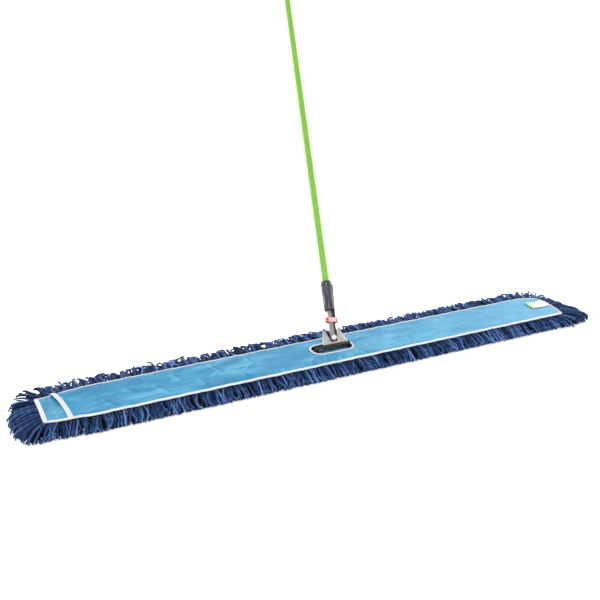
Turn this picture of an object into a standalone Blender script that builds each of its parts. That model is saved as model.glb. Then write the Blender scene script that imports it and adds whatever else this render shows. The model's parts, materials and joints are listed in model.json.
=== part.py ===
# Flat dust mop, 60 inch: a cloth head with a yarn fringe on a wire frame, a swivel bracket
# and a tube handle. Metres, +Z up. X runs along the head, +Y is behind it, and the origin
# is on the floor under the middle of the cloth head.

import math

import bmesh
import bpy
from mathutils import Matrix

# Cloth head
HEAD_LENGTH = 1.524
HEAD_WIDTH = 0.146
END_WIDTH = 0.122
TAPER_LENGTH = 0.080
FRINGE_FRONT = 0.026
FRINGE_BACK = 0.046
FRINGE_END = 0.076
FRINGE_TOP = 0.034
FRINGE_TOP_BACK = 0.046
FRINGE_TOP_END = 0.038
FRINGE_LIP = 0.012
PAD_HEIGHT = 0.0277
CLOTH_THICKNESS = 0.0020
FRAME_SPACE = 0.0080
TAPE_WIDTH = 0.009
TAPE_THICKNESS = 0.0012
SLOT_X = 0.008
SLOT_Y = 0.008
SLOT_LENGTH = 0.118
SLOT_WIDTH = 0.056
SLOT_CORNER = 0.020
POCKET_LENGTH = 0.060
POCKET_OVERLAP = 0.030
LABEL_LENGTH = 0.064
LABEL_WIDTH = 0.040
LABEL_FRONT = -0.011
LABEL_THICKNESS = 0.0008

# Wire frame, whose middle sits a little right of the slot's
FRAME_X = 0.0120
FRAME_Y = 0.0080
WIRE_DIAMETER = 0.0048
FRAME_WIDTH = 0.097
FRAME_END_MARGIN = 0.030
FRAME_CORNER = 0.020
CLAMP_DIAMETER = 0.0072
CLAMP_LENGTH = 0.014
CRIMP_LENGTH = 0.030
CROSS_BAR_SPACING = 0.096
CROSS_BAR_WIDTH = 0.0040
LUG_RADIUS = 0.0055
HINGE_BAR_DIAMETER = 0.0060
HINGE_BAR_Z = 0.0440
TIE_BAR_DIAMETER = 0.0050
TIE_BAR_Z = 0.0345

# Swivel bracket
TILT_BACK = math.radians(42.4)
SWING_RIGHT = math.radians(11.0)
BRACKET_X = 0.0197
PLATE_FOOT = 0.0056
PLATE_TOP = 0.0454
PLATE_FOOT_WIDTH = 0.0740
PLATE_TIP_WIDTH = 0.0508
PLATE_THICKNESS = 0.0022
NOTCH_FOOT = 0.0104
NOTCH_FOOT_WIDTH = 0.0220
NOTCH_TIP_WIDTH = 0.0350
SLEEVE_DIAMETER = 0.0105
BACK_PLATE_TOP = 0.0380
BACK_PLATE_TIP_WIDTH = 0.0420
PIN_HEIGHT = 0.0209
PIN_DIAMETER = 0.0070
PIN_HEAD_DIAMETER = 0.0130
PIN_HEAD_HEIGHT = 0.0024
PLATE_RIVET_DIAMETER = 0.0040
PLATE_RIVET_X = 0.0290
PLATE_RIVET_Z = 0.0140

# Stem and lock ring, measured along the stem from the pin
STEM_WIDTH = 0.0180
STEM_FRONT = -0.0068
STEM_BACK = 0.0008
STEM_WALL = 0.0018
STEM_TOP = 0.0785
STEM_CORNER = 0.0030
STEM_RIVET_Z = 0.0660
STEM_RIVET_DIAMETER = 0.0034
SHANK_DIAMETER = 0.0076
SHANK_Y = -0.0008
SHANK_FOOT = 0.0580
SHANK_TOP = 0.1300
RING_CENTRE = 0.0500
RING_HEIGHT = 0.0125
RING_WIDTH = 0.0340
RING_DEPTH = 0.0150

# Handle, measured along the stem from the pin
SOCKET_FOOT = 0.0800
SOCKET_TOP = 0.1640
SOCKET_DIAMETER = 0.0300
SOCKET_COLLAR = 0.0316
PRONG_FOOT = 0.0575
PRONG_RADIUS = 0.0122
PRONG_HALF_ANGLE = 32
CAVITY_FOOT = 0.1120
CAVITY_DIAMETER = 0.0210
NUT_FOOT = 0.1165
TUBE_FOOT = 0.1365
TUBE_DIAMETER = 0.0254
TUBE_WALL = 0.0012
HANDLE_LENGTH = 1.5240
CAP_LENGTH = 0.0480
CAP_DIAMETER = 0.0282
CAP_RECESS = 0.0300
HANG_HOLE_DIAMETER = 0.0080

GAP = 0.0003
RUNNING_GAP = 0.0005
SMOOTH_ANGLE = math.radians(35)

BASE_CLOTH_Z = PAD_HEIGHT + GAP
FRAME_FLOOR = BASE_CLOTH_Z + CLOTH_THICKNESS
WIRE_Z = FRAME_FLOOR + FRAME_SPACE / 2
TOP_CLOTH_Z = FRAME_FLOOR + FRAME_SPACE
TOP_Z = TOP_CLOTH_Z + CLOTH_THICKNESS
END_X = HEAD_LENGTH / 2
TAPER_X = END_X - TAPER_LENGTH


def clear_scene():
    for found in list(bpy.data.objects):
        bpy.data.objects.remove(found, do_unlink=True)


def make_material(name, colour, roughness, metallic=0.0):
    material = bpy.data.materials.new(name)
    material.use_nodes = True
    shader = material.node_tree.nodes["Principled BSDF"]
    shader.inputs["Base Color"].default_value = (*colour, 1.0)
    shader.inputs["Roughness"].default_value = roughness
    shader.inputs["Metallic"].default_value = metallic
    material.diffuse_color = (*colour, 1.0)
    return material


def add_object(name, data, material, parent=None, location=(0, 0, 0)):
    made = bpy.data.objects.new(name, data)
    bpy.context.scene.collection.objects.link(made)
    data.materials.clear()
    data.materials.append(material)
    made.parent = parent
    made.location = location
    if made.type == "MESH":
        data.shade_smooth()
        data.set_sharp_from_angle(angle=SMOOTH_ANGLE)
    return made


def mesh_from(name, working):
    bmesh.ops.recalc_face_normals(working, faces=working.faces)
    mesh = bpy.data.meshes.new(name)
    working.to_mesh(mesh)
    working.free()
    return mesh


def extruded(name, outline, low, high, axis="Z"):
    # A closed solid from an outline. Along Z the outline is (x, y), along Y it is (x, z),
    # and along X it is (y, z).
    place = {"Z": lambda a, b: (a, b, low), "Y": lambda a, b: (a, low, b), "X": lambda a, b: (low, a, b)}
    step = {"Z": (0, 0, high - low), "Y": (0, high - low, 0), "X": (high - low, 0, 0)}
    working = bmesh.new()
    face = working.faces.new([working.verts.new(place[axis](a, b)) for a, b in outline])
    grown = bmesh.ops.extrude_face_region(working, geom=[face])["geom"]
    moved = [item for item in grown if isinstance(item, bmesh.types.BMVert)]
    bmesh.ops.translate(working, verts=moved, vec=step[axis])
    return mesh_from(name, working)


def arc_points(centre, radius, start, end, steps):
    angles = [math.radians(start + (end - start) * i / steps) for i in range(steps + 1)]
    return [(centre[0] + radius * math.cos(a), centre[1] + radius * math.sin(a)) for a in angles]


def rounded_rectangle(length, width, radius, steps=4, centre=(0.0, 0.0)):
    half_x = length / 2 - radius
    half_y = width / 2 - radius
    corners = ((half_x, half_y, 0), (-half_x, half_y, 90), (-half_x, -half_y, 180), (half_x, -half_y, 270))
    outline = []
    for x, y, start in corners:
        outline += arc_points((centre[0] + x, centre[1] + y), radius, start, start + 90, steps)
    return outline


def cylinder(name, diameter, low, high, axis="Z", sides=16, centre=(0, 0, 0)):
    working = bmesh.new()
    bmesh.ops.create_cone(working, cap_ends=True, segments=sides, radius1=diameter / 2,
                          radius2=diameter / 2, depth=high - low)
    bmesh.ops.translate(working, verts=working.verts, vec=(0, 0, (high + low) / 2))
    turns = {"X": Matrix.Rotation(math.pi / 2, 3, "Y"), "Y": Matrix.Rotation(-math.pi / 2, 3, "X")}
    if axis in turns:
        bmesh.ops.rotate(working, verts=working.verts, cent=(0, 0, 0), matrix=turns[axis])
    bmesh.ops.translate(working, verts=working.verts, vec=centre)
    return mesh_from(name, working)


def turned(name, profile, steps=20, axis="Z", centre=(0, 0, 0)):
    # A body of revolution from a closed outline of (radius, height) points. A radius of 0
    # becomes a pole.
    working = bmesh.new()
    ring = [working.verts.new((radius, 0, height)) for radius, height in profile]
    edges = [working.edges.new((ring[i - 1], ring[i])) for i in range(len(ring))]
    bmesh.ops.spin(working, geom=ring + edges, axis=(0, 0, 1), cent=(0, 0, 0),
                   steps=steps, angle=2 * math.pi, use_merge=True)
    bmesh.ops.remove_doubles(working, verts=working.verts, dist=1e-6)
    on_axis = [edge for edge in working.edges if not edge.link_faces]
    bmesh.ops.delete(working, geom=on_axis, context="EDGES")
    if axis == "Y":
        turn = Matrix.Rotation(-math.pi / 2, 3, "X")
        bmesh.ops.rotate(working, verts=working.verts, cent=(0, 0, 0), matrix=turn)
    bmesh.ops.translate(working, verts=working.verts, vec=centre)
    return mesh_from(name, working)


def add_boolean(target, data, operation):
    # The helper lies in the target's own frame and stays out of renders.
    helper = add_object(data.name, data, target.data.materials[0], target.parent, target.location)
    helper.hide_render = True
    helper.display_type = "WIRE"
    modifier = target.modifiers.new(data.name, "BOOLEAN")
    modifier.operation = operation
    modifier.object = helper
    modifier.solver = "EXACT"


def wire(name, points, diameter, material, sides=8):
    curve = bpy.data.curves.new(name, "CURVE")
    curve.dimensions = "3D"
    curve.bevel_depth = diameter / 2
    curve.bevel_resolution = sides // 2 - 2
    curve.use_fill_caps = True
    spline = curve.splines.new("POLY")
    spline.points.add(len(points) - 1)
    for point, place in zip(spline.points, points):
        point.co = (*place, 1.0)
    return add_object(name, curve, material)


# ---- Cloth head ----

def head_outline(inset=0.0):
    side = HEAD_WIDTH / 2 - inset
    end = END_WIDTH / 2 - inset
    end_x = END_X - inset
    return [(end_x, -end), (end_x, end), (TAPER_X, side), (-TAPER_X, side),
            (-end_x, end), (-end_x, -end), (-TAPER_X, -side), (TAPER_X, -side)]


def slot_cutter(name, low, high):
    outline = rounded_rectangle(SLOT_LENGTH, SLOT_WIDTH, SLOT_CORNER, 6, (SLOT_X, SLOT_Y))
    return extruded(name, outline, low, high)


def build_cloths(cloth, tape, label):
    add_object("base_cloth", extruded("base_cloth", head_outline(), BASE_CLOTH_Z, FRAME_FLOOR), cloth)
    pocket_x = -(END_X - POCKET_LENGTH)
    half = HEAD_WIDTH / 2
    panel_outline = [(END_X, -END_WIDTH / 2), (END_X, END_WIDTH / 2), (TAPER_X, half), (-TAPER_X, half),
                     (pocket_x, taper_half_width(pocket_x)), (pocket_x, -taper_half_width(pocket_x)),
                     (-TAPER_X, -half), (TAPER_X, -half)]
    top_panel = add_object("top_panel", extruded("top_panel", panel_outline, TOP_CLOTH_Z, TOP_Z), cloth)
    add_boolean(top_panel, slot_cutter("top_panel_slot", TOP_CLOTH_Z - GAP, TOP_Z + GAP), "DIFFERENCE")
    under_x = pocket_x + POCKET_OVERLAP
    end_outline = [(-END_X, -END_WIDTH / 2), (under_x, -half + 0.001), (under_x, half - 0.001),
                   (-END_X, END_WIDTH / 2)]
    end_panel = extruded("end_panel", end_outline, TOP_CLOTH_Z - GAP - 0.0010, TOP_CLOTH_Z - GAP)
    add_object("end_panel", end_panel, cloth)
    build_tapes(tape, pocket_x)
    label_x = END_X - TAPE_WIDTH - GAP
    label_back = LABEL_FRONT + LABEL_WIDTH
    label_outline = [(label_x - LABEL_LENGTH, LABEL_FRONT), (label_x, LABEL_FRONT), (label_x, label_back),
                     (label_x - LABEL_LENGTH, label_back)]
    low = TOP_Z + GAP
    add_object("care_label", extruded("care_label", label_outline, low, low + LABEL_THICKNESS), label)


def taper_half_width(x):
    past = max(0.0, abs(x) - TAPER_X)
    return (HEAD_WIDTH - (HEAD_WIDTH - END_WIDTH) * past / TAPER_LENGTH) / 2


def build_tapes(tape, pocket_x):
    low = TOP_Z + GAP
    high = low + TAPE_THICKNESS
    outer = HEAD_WIDTH / 2
    inner = outer - TAPE_WIDTH
    left = pocket_x + TAPE_WIDTH + GAP
    for name, side in (("binding_front", -1), ("binding_back", 1)):
        outline = [(left, side * (taper_half_width(left) - TAPE_WIDTH)),
                   (-TAPER_X, side * inner), (TAPER_X, side * inner),
                   (END_X - TAPE_WIDTH, side * (taper_half_width(END_X - TAPE_WIDTH) - TAPE_WIDTH)),
                   (END_X - TAPE_WIDTH, side * taper_half_width(END_X - TAPE_WIDTH)),
                   (TAPER_X, side * outer), (-TAPER_X, side * outer), (left, side * taper_half_width(left))]
        add_object(name, extruded(name, outline, low, high), tape)
    ends = (("binding_right_end", END_X - TAPE_WIDTH + GAP, END_X, low),
            ("pocket_binding", pocket_x, pocket_x + TAPE_WIDTH, low),
            ("binding_left_end", -END_X, -END_X + TAPE_WIDTH, TOP_CLOTH_Z))
    for name, start, stop, base in ends:
        outline = [(start, -taper_half_width(start)), (stop, -taper_half_width(stop)),
                   (stop, taper_half_width(stop)), (start, taper_half_width(start))]
        add_object(name, extruded(name, outline, base, base + TAPE_THICKNESS), tape)
    ring = rounded_rectangle(SLOT_LENGTH + TAPE_WIDTH, SLOT_WIDTH + TAPE_WIDTH,
                             SLOT_CORNER + TAPE_WIDTH / 2, 6, (SLOT_X, SLOT_Y))
    slot_binding = add_object("slot_binding", extruded("slot_binding", ring, low, high), tape)
    add_boolean(slot_binding, slot_cutter("slot_binding_hole", low - GAP, high + GAP), "DIFFERENCE")


def fringe_section(side, reach, height):
    inner = side * (HEAD_WIDTH / 2 + GAP)
    outer = inner + side * reach
    lip = inner + side * min(FRINGE_LIP, reach / 2)
    return [(inner, 0.0), (outer, 0.0), (outer, height * 0.45), (lip, height), (inner, height)]


def build_yarns(yarn):
    add_object("yarn_pad", extruded("yarn_pad", head_outline(), 0.0, PAD_HEIGHT), yarn)
    front = extruded("yarn_fringe_front", fringe_section(-1, FRINGE_FRONT, FRINGE_TOP), -TAPER_X, TAPER_X, "X")
    add_object("yarn_fringe_front", front, yarn)
    back = extruded("yarn_fringe_back", fringe_section(1, FRINGE_BACK, FRINGE_TOP_BACK), -TAPER_X, TAPER_X, "X")
    add_object("yarn_fringe_back", back, yarn)
    for name, end in (("yarn_fringe_left", -1), ("yarn_fringe_right", 1)):
        inner_end = END_WIDTH / 2 + GAP
        inner_side = HEAD_WIDTH / 2 + GAP
        start_x = TAPER_X + GAP
        outer_x = END_X + FRINGE_END
        front_y = -(HEAD_WIDTH / 2 + FRINGE_FRONT)
        back_y = HEAD_WIDTH / 2 + FRINGE_BACK
        front_curve = arc_points((outer_x - 0.075, front_y + 0.075), 0.075, 270, 360, 5)
        back_curve = arc_points((outer_x - 0.085, back_y - 0.085), 0.085, 0, 90, 5)
        outline = [(start_x, -inner_side), (start_x, front_y), *front_curve, *back_curve,
                   (start_x, back_y), (start_x, inner_side), (END_X + GAP, inner_end),
                   (END_X + GAP, -inner_end)]
        outline = [(end * x, y) for x, y in outline]
        add_object(name, extruded(name, outline, 0.0, FRINGE_TOP_END), yarn)


# ---- Wire frame ----

def build_frame(steel, black):
    half = FRAME_WIDTH / 2
    front, back = FRAME_Y - half, FRAME_Y + half
    for name, end in (("frame_wire_left", -1), ("frame_wire_right", 1)):
        end_x = end * (END_X - FRAME_END_MARGIN)
        bend = FRAME_CORNER
        front_curve = arc_points((bend, front + bend), bend, 270, 180, 4)
        back_curve = arc_points((bend, back - bend), bend, 180, 90, 4)
        curves = [(end_x - end * x, y) for x, y in front_curve + back_curve]
        start_x = FRAME_X + end * GAP
        points = [(start_x, front), *curves, (start_x, back)]
        wire(name, [(x, y, WIRE_Z) for x, y in points], WIRE_DIAMETER, steel)
    wire_bore = WIRE_DIAMETER + 2 * GAP
    for side_name, y in (("front", front), ("back", back)):
        add_sleeve(f"frame_crimp_{side_name}", CRIMP_LENGTH, FRAME_X, y, wire_bore, steel)
        for name, side in (("left", -1), ("right", 1)):
            x = FRAME_X + side * CROSS_BAR_SPACING / 2
            add_sleeve(f"bar_clamp_{side_name}_{name}", CLAMP_LENGTH, x, y, wire_bore, black)
    for name, side in (("cross_bar_left", -1), ("cross_bar_right", 1)):
        build_cross_bar(name, FRAME_X + side * CROSS_BAR_SPACING / 2, front, back, black)
    reach = CROSS_BAR_SPACING / 2 + CROSS_BAR_WIDTH / 2 + 0.0016
    hinge = cylinder("hinge_bar", HINGE_BAR_DIAMETER, FRAME_X - reach, FRAME_X + reach, "X",
                     centre=(0, FRAME_Y, HINGE_BAR_Z))
    add_object("hinge_bar", hinge, black)
    inside = CROSS_BAR_SPACING / 2 - CROSS_BAR_WIDTH / 2 - GAP
    tie = cylinder("tie_bar", TIE_BAR_DIAMETER, FRAME_X - inside, FRAME_X + inside, "X", 12,
                   centre=(0, FRAME_Y, TIE_BAR_Z))
    add_object("tie_bar", tie, black)


def add_sleeve(name, length, x, y, bore, material):
    sleeve = cylinder(name, CLAMP_DIAMETER, x - length / 2, x + length / 2, "X", 12, (0, y, WIRE_Z))
    made = add_object(name, sleeve, material)
    hole = cylinder(f"{name}_bore", bore, x - length / 2 - GAP, x + length / 2 + GAP, "X", 12, (0, y, WIRE_Z))
    add_boolean(made, hole, "DIFFERENCE")


def build_cross_bar(name, x, front, back, material):
    # A strap between the wires with an upright lug that carries the hinge bar.
    clearance = CLAMP_DIAMETER / 2 + GAP
    low, high = WIRE_Z - 0.0020, WIRE_Z + 0.0020
    lug = arc_points((FRAME_Y, HINGE_BAR_Z), LUG_RADIUS, 0, 180, 8)
    outline = [(front + clearance, low), (back - clearance, low), (back - clearance, high),
               (FRAME_Y + LUG_RADIUS, high), *lug, (FRAME_Y - LUG_RADIUS, high),
               (front + clearance, high)]
    half = CROSS_BAR_WIDTH / 2
    made = add_object(name, extruded(name, outline, x - half, x + half, "X"), material)
    hole = cylinder(f"{name}_hole", HINGE_BAR_DIAMETER + 2 * GAP, x - half - GAP, x + half + GAP, "X",
                    centre=(0, FRAME_Y, HINGE_BAR_Z))
    add_boolean(made, hole, "DIFFERENCE")


# ---- Swivel bracket ----

def plate_outline(foot, top, foot_width, tip_width):
    return [(foot_width / 2, foot), (tip_width / 2, top), (-tip_width / 2, top), (-foot_width / 2, foot)]


def build_bracket(parent, steel, black, bright):
    half_tip = PLATE_TIP_WIDTH / 2
    half_foot = PLATE_FOOT_WIDTH / 2
    ear_slope = 0.0035
    front_outline = [(half_foot, PLATE_FOOT), (half_foot - 0.001, PLATE_FOOT + 0.008),
                     (half_tip, PLATE_TOP - ear_slope), (half_tip - 0.004, PLATE_TOP),
                     (NOTCH_TIP_WIDTH / 2, PLATE_TOP - ear_slope), (NOTCH_FOOT_WIDTH / 2, PIN_HEIGHT - 0.002),
                     (NOTCH_FOOT_WIDTH / 2 - 0.004, NOTCH_FOOT)]
    front_outline += [(-x, z) for x, z in reversed(front_outline)]
    half_thickness = PLATE_THICKNESS / 2
    front_plate = extruded("bracket_front_plate", front_outline, -half_thickness, half_thickness, "Y")
    made = add_object("bracket_front_plate", front_plate, steel, parent)

    back_low = half_thickness + GAP
    back_high = back_low + 0.0018
    back_outline = plate_outline(0.0, BACK_PLATE_TOP, PLATE_FOOT_WIDTH - 0.001, BACK_PLATE_TIP_WIDTH)
    back_plate = add_object("bracket_back_plate",
                            extruded("bracket_back_plate", back_outline, back_low, back_high, "Y"), black, parent)
    half_sleeve = PLATE_FOOT_WIDTH / 2
    add_boolean(back_plate, cylinder("rolled_sleeve", SLEEVE_DIAMETER, -half_sleeve, half_sleeve, "X"), "UNION")
    bore = cylinder("rolled_sleeve_bore", HINGE_BAR_DIAMETER + 2 * RUNNING_GAP, -half_sleeve - GAP,
                    half_sleeve + GAP, "X")
    add_boolean(back_plate, bore, "DIFFERENCE")
    pin_hole = cylinder("pin_hole", PIN_DIAMETER + 2 * GAP, back_low - GAP, back_high + GAP, "Y",
                        centre=(0, 0, PIN_HEIGHT))
    add_boolean(back_plate, pin_hole, "DIFFERENCE")
    for name, side in (("plate_rivet_left", -1), ("plate_rivet_right", 1)):
        centre = (side * PLATE_RIVET_X, 0, PLATE_RIVET_Z)
        for plate, low, high in ((made, -half_thickness, half_thickness), (back_plate, back_low, back_high)):
            hole = cylinder(f"{plate.name}_{name}_hole", PLATE_RIVET_DIAMETER + 2 * GAP, low - GAP,
                            high + GAP, "Y", 12, centre)
            add_boolean(plate, hole, "DIFFERENCE")
        rivet = riveted_pin(name, PLATE_RIVET_DIAMETER, 0.0072, 0.0012, -half_thickness - GAP,
                            back_high + GAP, centre, 12)
        add_object(name, rivet, steel, parent)

    head_face = STEM_FRONT - GAP
    washer_low = back_high + GAP
    washer_high = washer_low + 0.0008
    pin = riveted_pin("pivot_pin", PIN_DIAMETER, PIN_HEAD_DIAMETER, PIN_HEAD_HEIGHT, head_face,
                      washer_high + GAP, (0, 0, PIN_HEIGHT), 20, tail_height=0.0010)
    add_object("pivot_pin", pin, bright, parent)
    washer = cylinder("pivot_washer", 0.0150, washer_low, washer_high, "Y", 20, (0, 0, PIN_HEIGHT))
    made = add_object("pivot_washer", washer, black, parent)
    add_boolean(made, cylinder("washer_hole", PIN_DIAMETER + 2 * GAP, washer_low - GAP, washer_high + GAP,
                               "Y", 20, (0, 0, PIN_HEIGHT)), "DIFFERENCE")


def riveted_pin(name, diameter, head_diameter, head_height, low, high, centre, steps, tail_height=None):
    # A pin along Y with a domed head at the front and a flatter one behind.
    tail = tail_height or head_height
    shaft = diameter / 2
    head = head_diameter / 2
    profile = [(0, low - head_height), (head * 0.55, low - head_height * 0.92), (head * 0.9, low - head_height * 0.5),
               (head, low), (shaft, low), (shaft, high), (head * 0.9, high),
               (head * 0.75, high + tail), (0, high + tail)]
    return turned(name, profile, steps, "Y", centre)


# ---- Stem, lock ring and handle ----

def build_stem(parent, steel, bright):
    half = STEM_WIDTH / 2
    inner = half - STEM_WALL
    foot = arc_points((0, 0), half, 180, 360, 8)
    corner_x, corner_z = half - STEM_CORNER, STEM_TOP - STEM_CORNER
    crown = (arc_points((corner_x, corner_z), STEM_CORNER, 0, 90, 4)
             + arc_points((-corner_x, corner_z), STEM_CORNER, 90, 180, 4))
    channel = extruded("stem_channel", foot + crown, STEM_FRONT, STEM_BACK, "Y")
    made = add_object("stem_channel", channel, steel, parent)
    hollow_foot = arc_points((0, 0), inner, 180, 360, 8)
    hollow = extruded("stem_hollow", hollow_foot + [(inner, STEM_TOP + GAP), (-inner, STEM_TOP + GAP)],
                      STEM_FRONT + STEM_WALL, STEM_BACK + GAP, "Y")
    add_boolean(made, hollow, "DIFFERENCE")
    add_boolean(made, cylinder("stem_pin_hole", PIN_DIAMETER + 2 * RUNNING_GAP, STEM_FRONT - GAP,
                               STEM_BACK + GAP, "Y", 20), "DIFFERENCE")
    add_boolean(made, cylinder("shank_rivet_hole", STEM_RIVET_DIAMETER + 2 * GAP, STEM_FRONT - GAP,
                               STEM_BACK + GAP, "Y", 12, (0, 0, STEM_RIVET_Z)), "DIFFERENCE")
    shank = cylinder("stem_shank", SHANK_DIAMETER, SHANK_FOOT, SHANK_TOP, "Z", 16, (0, SHANK_Y, 0))
    made = add_object("stem_shank", shank, bright, parent)
    shank_back = SHANK_Y + SHANK_DIAMETER / 2
    add_boolean(made, cylinder("shank_cross_hole", STEM_RIVET_DIAMETER + 2 * GAP, STEM_FRONT, shank_back + GAP,
                               "Y", 12, (0, 0, STEM_RIVET_Z)), "DIFFERENCE")
    rivet = riveted_pin("shank_rivet", STEM_RIVET_DIAMETER, 0.0060, 0.0009, STEM_FRONT - GAP, shank_back + GAP,
                        (0, 0, STEM_RIVET_Z), 12)
    add_object("shank_rivet", rivet, bright, parent)
    add_ring("shank_washer", 0.0160, NUT_FOOT - 0.0016, NUT_FOOT - GAP, parent, bright, 20)
    add_ring("shank_nut", 0.0130, NUT_FOOT, NUT_FOOT + 0.0080, parent, bright, 6)


def add_ring(name, diameter, low, high, parent, material, sides):
    made = add_object(name, cylinder(name, diameter, low, high, "Z", sides, (0, SHANK_Y, 0)), material, parent)
    add_boolean(made, cylinder(f"{name}_bore", SHANK_DIAMETER + 2 * GAP, low - GAP, high + GAP, "Z", 16,
                               (0, SHANK_Y, 0)), "DIFFERENCE")


def build_lock_ring(parent, red):
    middle_y = (STEM_FRONT + STEM_BACK) / 2
    low, high = -RING_HEIGHT / 2, RING_HEIGHT / 2
    outer = rounded_rectangle(RING_WIDTH, RING_DEPTH, 0.0045, 4, (0, middle_y))
    made = add_object("lock_ring", extruded("lock_ring", outer, low, high), red, parent)
    inner = rounded_rectangle(STEM_WIDTH + 2 * RUNNING_GAP, STEM_BACK - STEM_FRONT + 2 * RUNNING_GAP,
                              0.0008, 2, (0, middle_y))
    add_boolean(made, extruded("lock_ring_opening", inner, low - GAP, high + GAP), "DIFFERENCE")


def build_handle(parent, charcoal, lime, steel):
    # The parent is on the shank's axis, so every round piece here is turned about it.
    outer = SOCKET_DIAMETER / 2
    collar = SOCKET_COLLAR / 2
    shank_bore = SHANK_DIAMETER / 2 + RUNNING_GAP
    tube_bore = TUBE_DIAMETER / 2 + GAP
    step = TUBE_FOOT - 0.0020
    profile = [(outer - 0.001, SOCKET_FOOT), (outer, SOCKET_FOOT + 0.001), (outer, SOCKET_TOP - 0.012),
               (collar - 0.0004, SOCKET_TOP - 0.010), (collar, SOCKET_TOP - 0.004),
               (collar - 0.001, SOCKET_TOP), (tube_bore, SOCKET_TOP), (tube_bore, step),
               (CAVITY_DIAMETER / 2, step), (CAVITY_DIAMETER / 2, CAVITY_FOOT),
               (shank_bore, CAVITY_FOOT), (shank_bore, SOCKET_FOOT)]
    socket = add_object("handle_socket", turned("handle_socket", profile, 24), charcoal, parent)
    start, end = -PRONG_HALF_ANGLE, PRONG_HALF_ANGLE
    wedge = arc_points((0, 0), outer, start, end, 6) + arc_points((0, 0), PRONG_RADIUS, end, start, 6)
    add_boolean(socket, extruded("socket_prong", wedge, PRONG_FOOT, SOCKET_FOOT + 0.002), "UNION")

    rivet_z = 0.1460
    rivet_diameter = 0.0040
    add_boolean(socket, cylinder("socket_rivet_hole", rivet_diameter + 2 * GAP, -0.02, 0.02, "X", 12,
                                 (0, 0, rivet_z)), "DIFFERENCE")
    rivet_reach = outer + GAP
    rivet = cylinder("socket_rivet", rivet_diameter, -rivet_reach, rivet_reach, "X", 12, (0, 0, rivet_z))
    made = add_object("socket_rivet", rivet, steel, parent)
    for name, side in (("rivet_head_left", -1), ("rivet_head_right", 1)):
        low, high = sorted((side * rivet_reach, side * (rivet_reach + 0.0008)))
        add_boolean(made, cylinder(name, 0.0074, low, high, "X", 12, (0, 0, rivet_z)), "UNION")

    tube_radius = TUBE_DIAMETER / 2
    tube_top = TUBE_FOOT + HANDLE_LENGTH - CAP_LENGTH + CAP_RECESS - GAP
    tube_profile = [(tube_radius, TUBE_FOOT), (tube_radius, tube_top), (tube_radius - TUBE_WALL, tube_top),
                    (tube_radius - TUBE_WALL, TUBE_FOOT)]
    tube = add_object("handle_tube", turned("handle_tube", tube_profile, 24), lime, parent)
    add_boolean(tube, cylinder("tube_rivet_hole", rivet_diameter + 2 * GAP, -0.02, 0.02, "X", 12,
                               (0, 0, rivet_z)), "DIFFERENCE")

    cap = CAP_DIAMETER / 2
    cap_foot = TUBE_FOOT + HANDLE_LENGTH - CAP_LENGTH
    cap_top = TUBE_FOOT + HANDLE_LENGTH
    dome = [(radius, cap_top - cap + height) for radius, height in arc_points((0, 0), cap, 0, 90, 6)[:-1]]
    cap_profile = [(tube_bore, cap_foot), (cap, cap_foot), *dome, (0, cap_top),
                   (0, cap_foot + CAP_RECESS), (tube_bore, cap_foot + CAP_RECESS)]
    made = add_object("end_cap", turned("end_cap", cap_profile, 24), charcoal, parent)
    add_boolean(made, cylinder("hang_hole", HANG_HOLE_DIAMETER, -0.02, 0.02, "Y", 16,
                               (0, 0, cap_foot + CAP_RECESS + 0.0075)), "DIFFERENCE")


def add_pivot(name, parent, location, rotation=(0, 0, 0)):
    pivot = bpy.data.objects.new(name, None)
    bpy.context.scene.collection.objects.link(pivot)
    pivot.parent = parent
    pivot.location = location
    pivot.rotation_euler = rotation
    return pivot


def main():
    clear_scene()
    cloth = make_material("blue_cloth", (0.07, 0.36, 0.62), 0.6)
    tape = make_material("white_tape", (0.80, 0.80, 0.80), 0.7)
    yarn = make_material("navy_yarn", (0.02, 0.05, 0.16), 0.95)
    label = make_material("white_label", (0.85, 0.85, 0.85), 0.5)
    steel = make_material("pressed_steel", (0.50, 0.50, 0.50), 0.35, 1.0)
    bright = make_material("zinc_steel", (0.75, 0.75, 0.76), 0.25, 1.0)
    black = make_material("black_steel", (0.02, 0.02, 0.02), 0.45, 0.6)
    red = make_material("red_plastic", (0.75, 0.06, 0.05), 0.3)
    charcoal = make_material("charcoal_plastic", (0.05, 0.05, 0.06), 0.45)
    lime = make_material("lime_paint", (0.30, 0.62, 0.12), 0.25)

    build_cloths(cloth, tape, label)
    build_yarns(yarn)
    build_frame(steel, black)

    tilt_axis = add_pivot("tilt_axis", None, (BRACKET_X, FRAME_Y, HINGE_BAR_Z), (-TILT_BACK, 0, 0))
    swing_axis = add_pivot("swing_axis", tilt_axis, (0, 0, PIN_HEIGHT), (0, SWING_RIGHT, 0))
    swivel_axis = add_pivot("swivel_axis", swing_axis, (0, SHANK_Y, 0))
    ring_place = add_pivot("ring_place", swing_axis, (0, 0, RING_CENTRE))
    build_bracket(tilt_axis, steel, black, bright)
    build_stem(swing_axis, steel, bright)
    build_lock_ring(ring_place, red)
    build_handle(swivel_axis, charcoal, lime, steel)


main()
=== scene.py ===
import json
import math

import bpy
import numpy as np
from mathutils import Matrix, Vector


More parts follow.
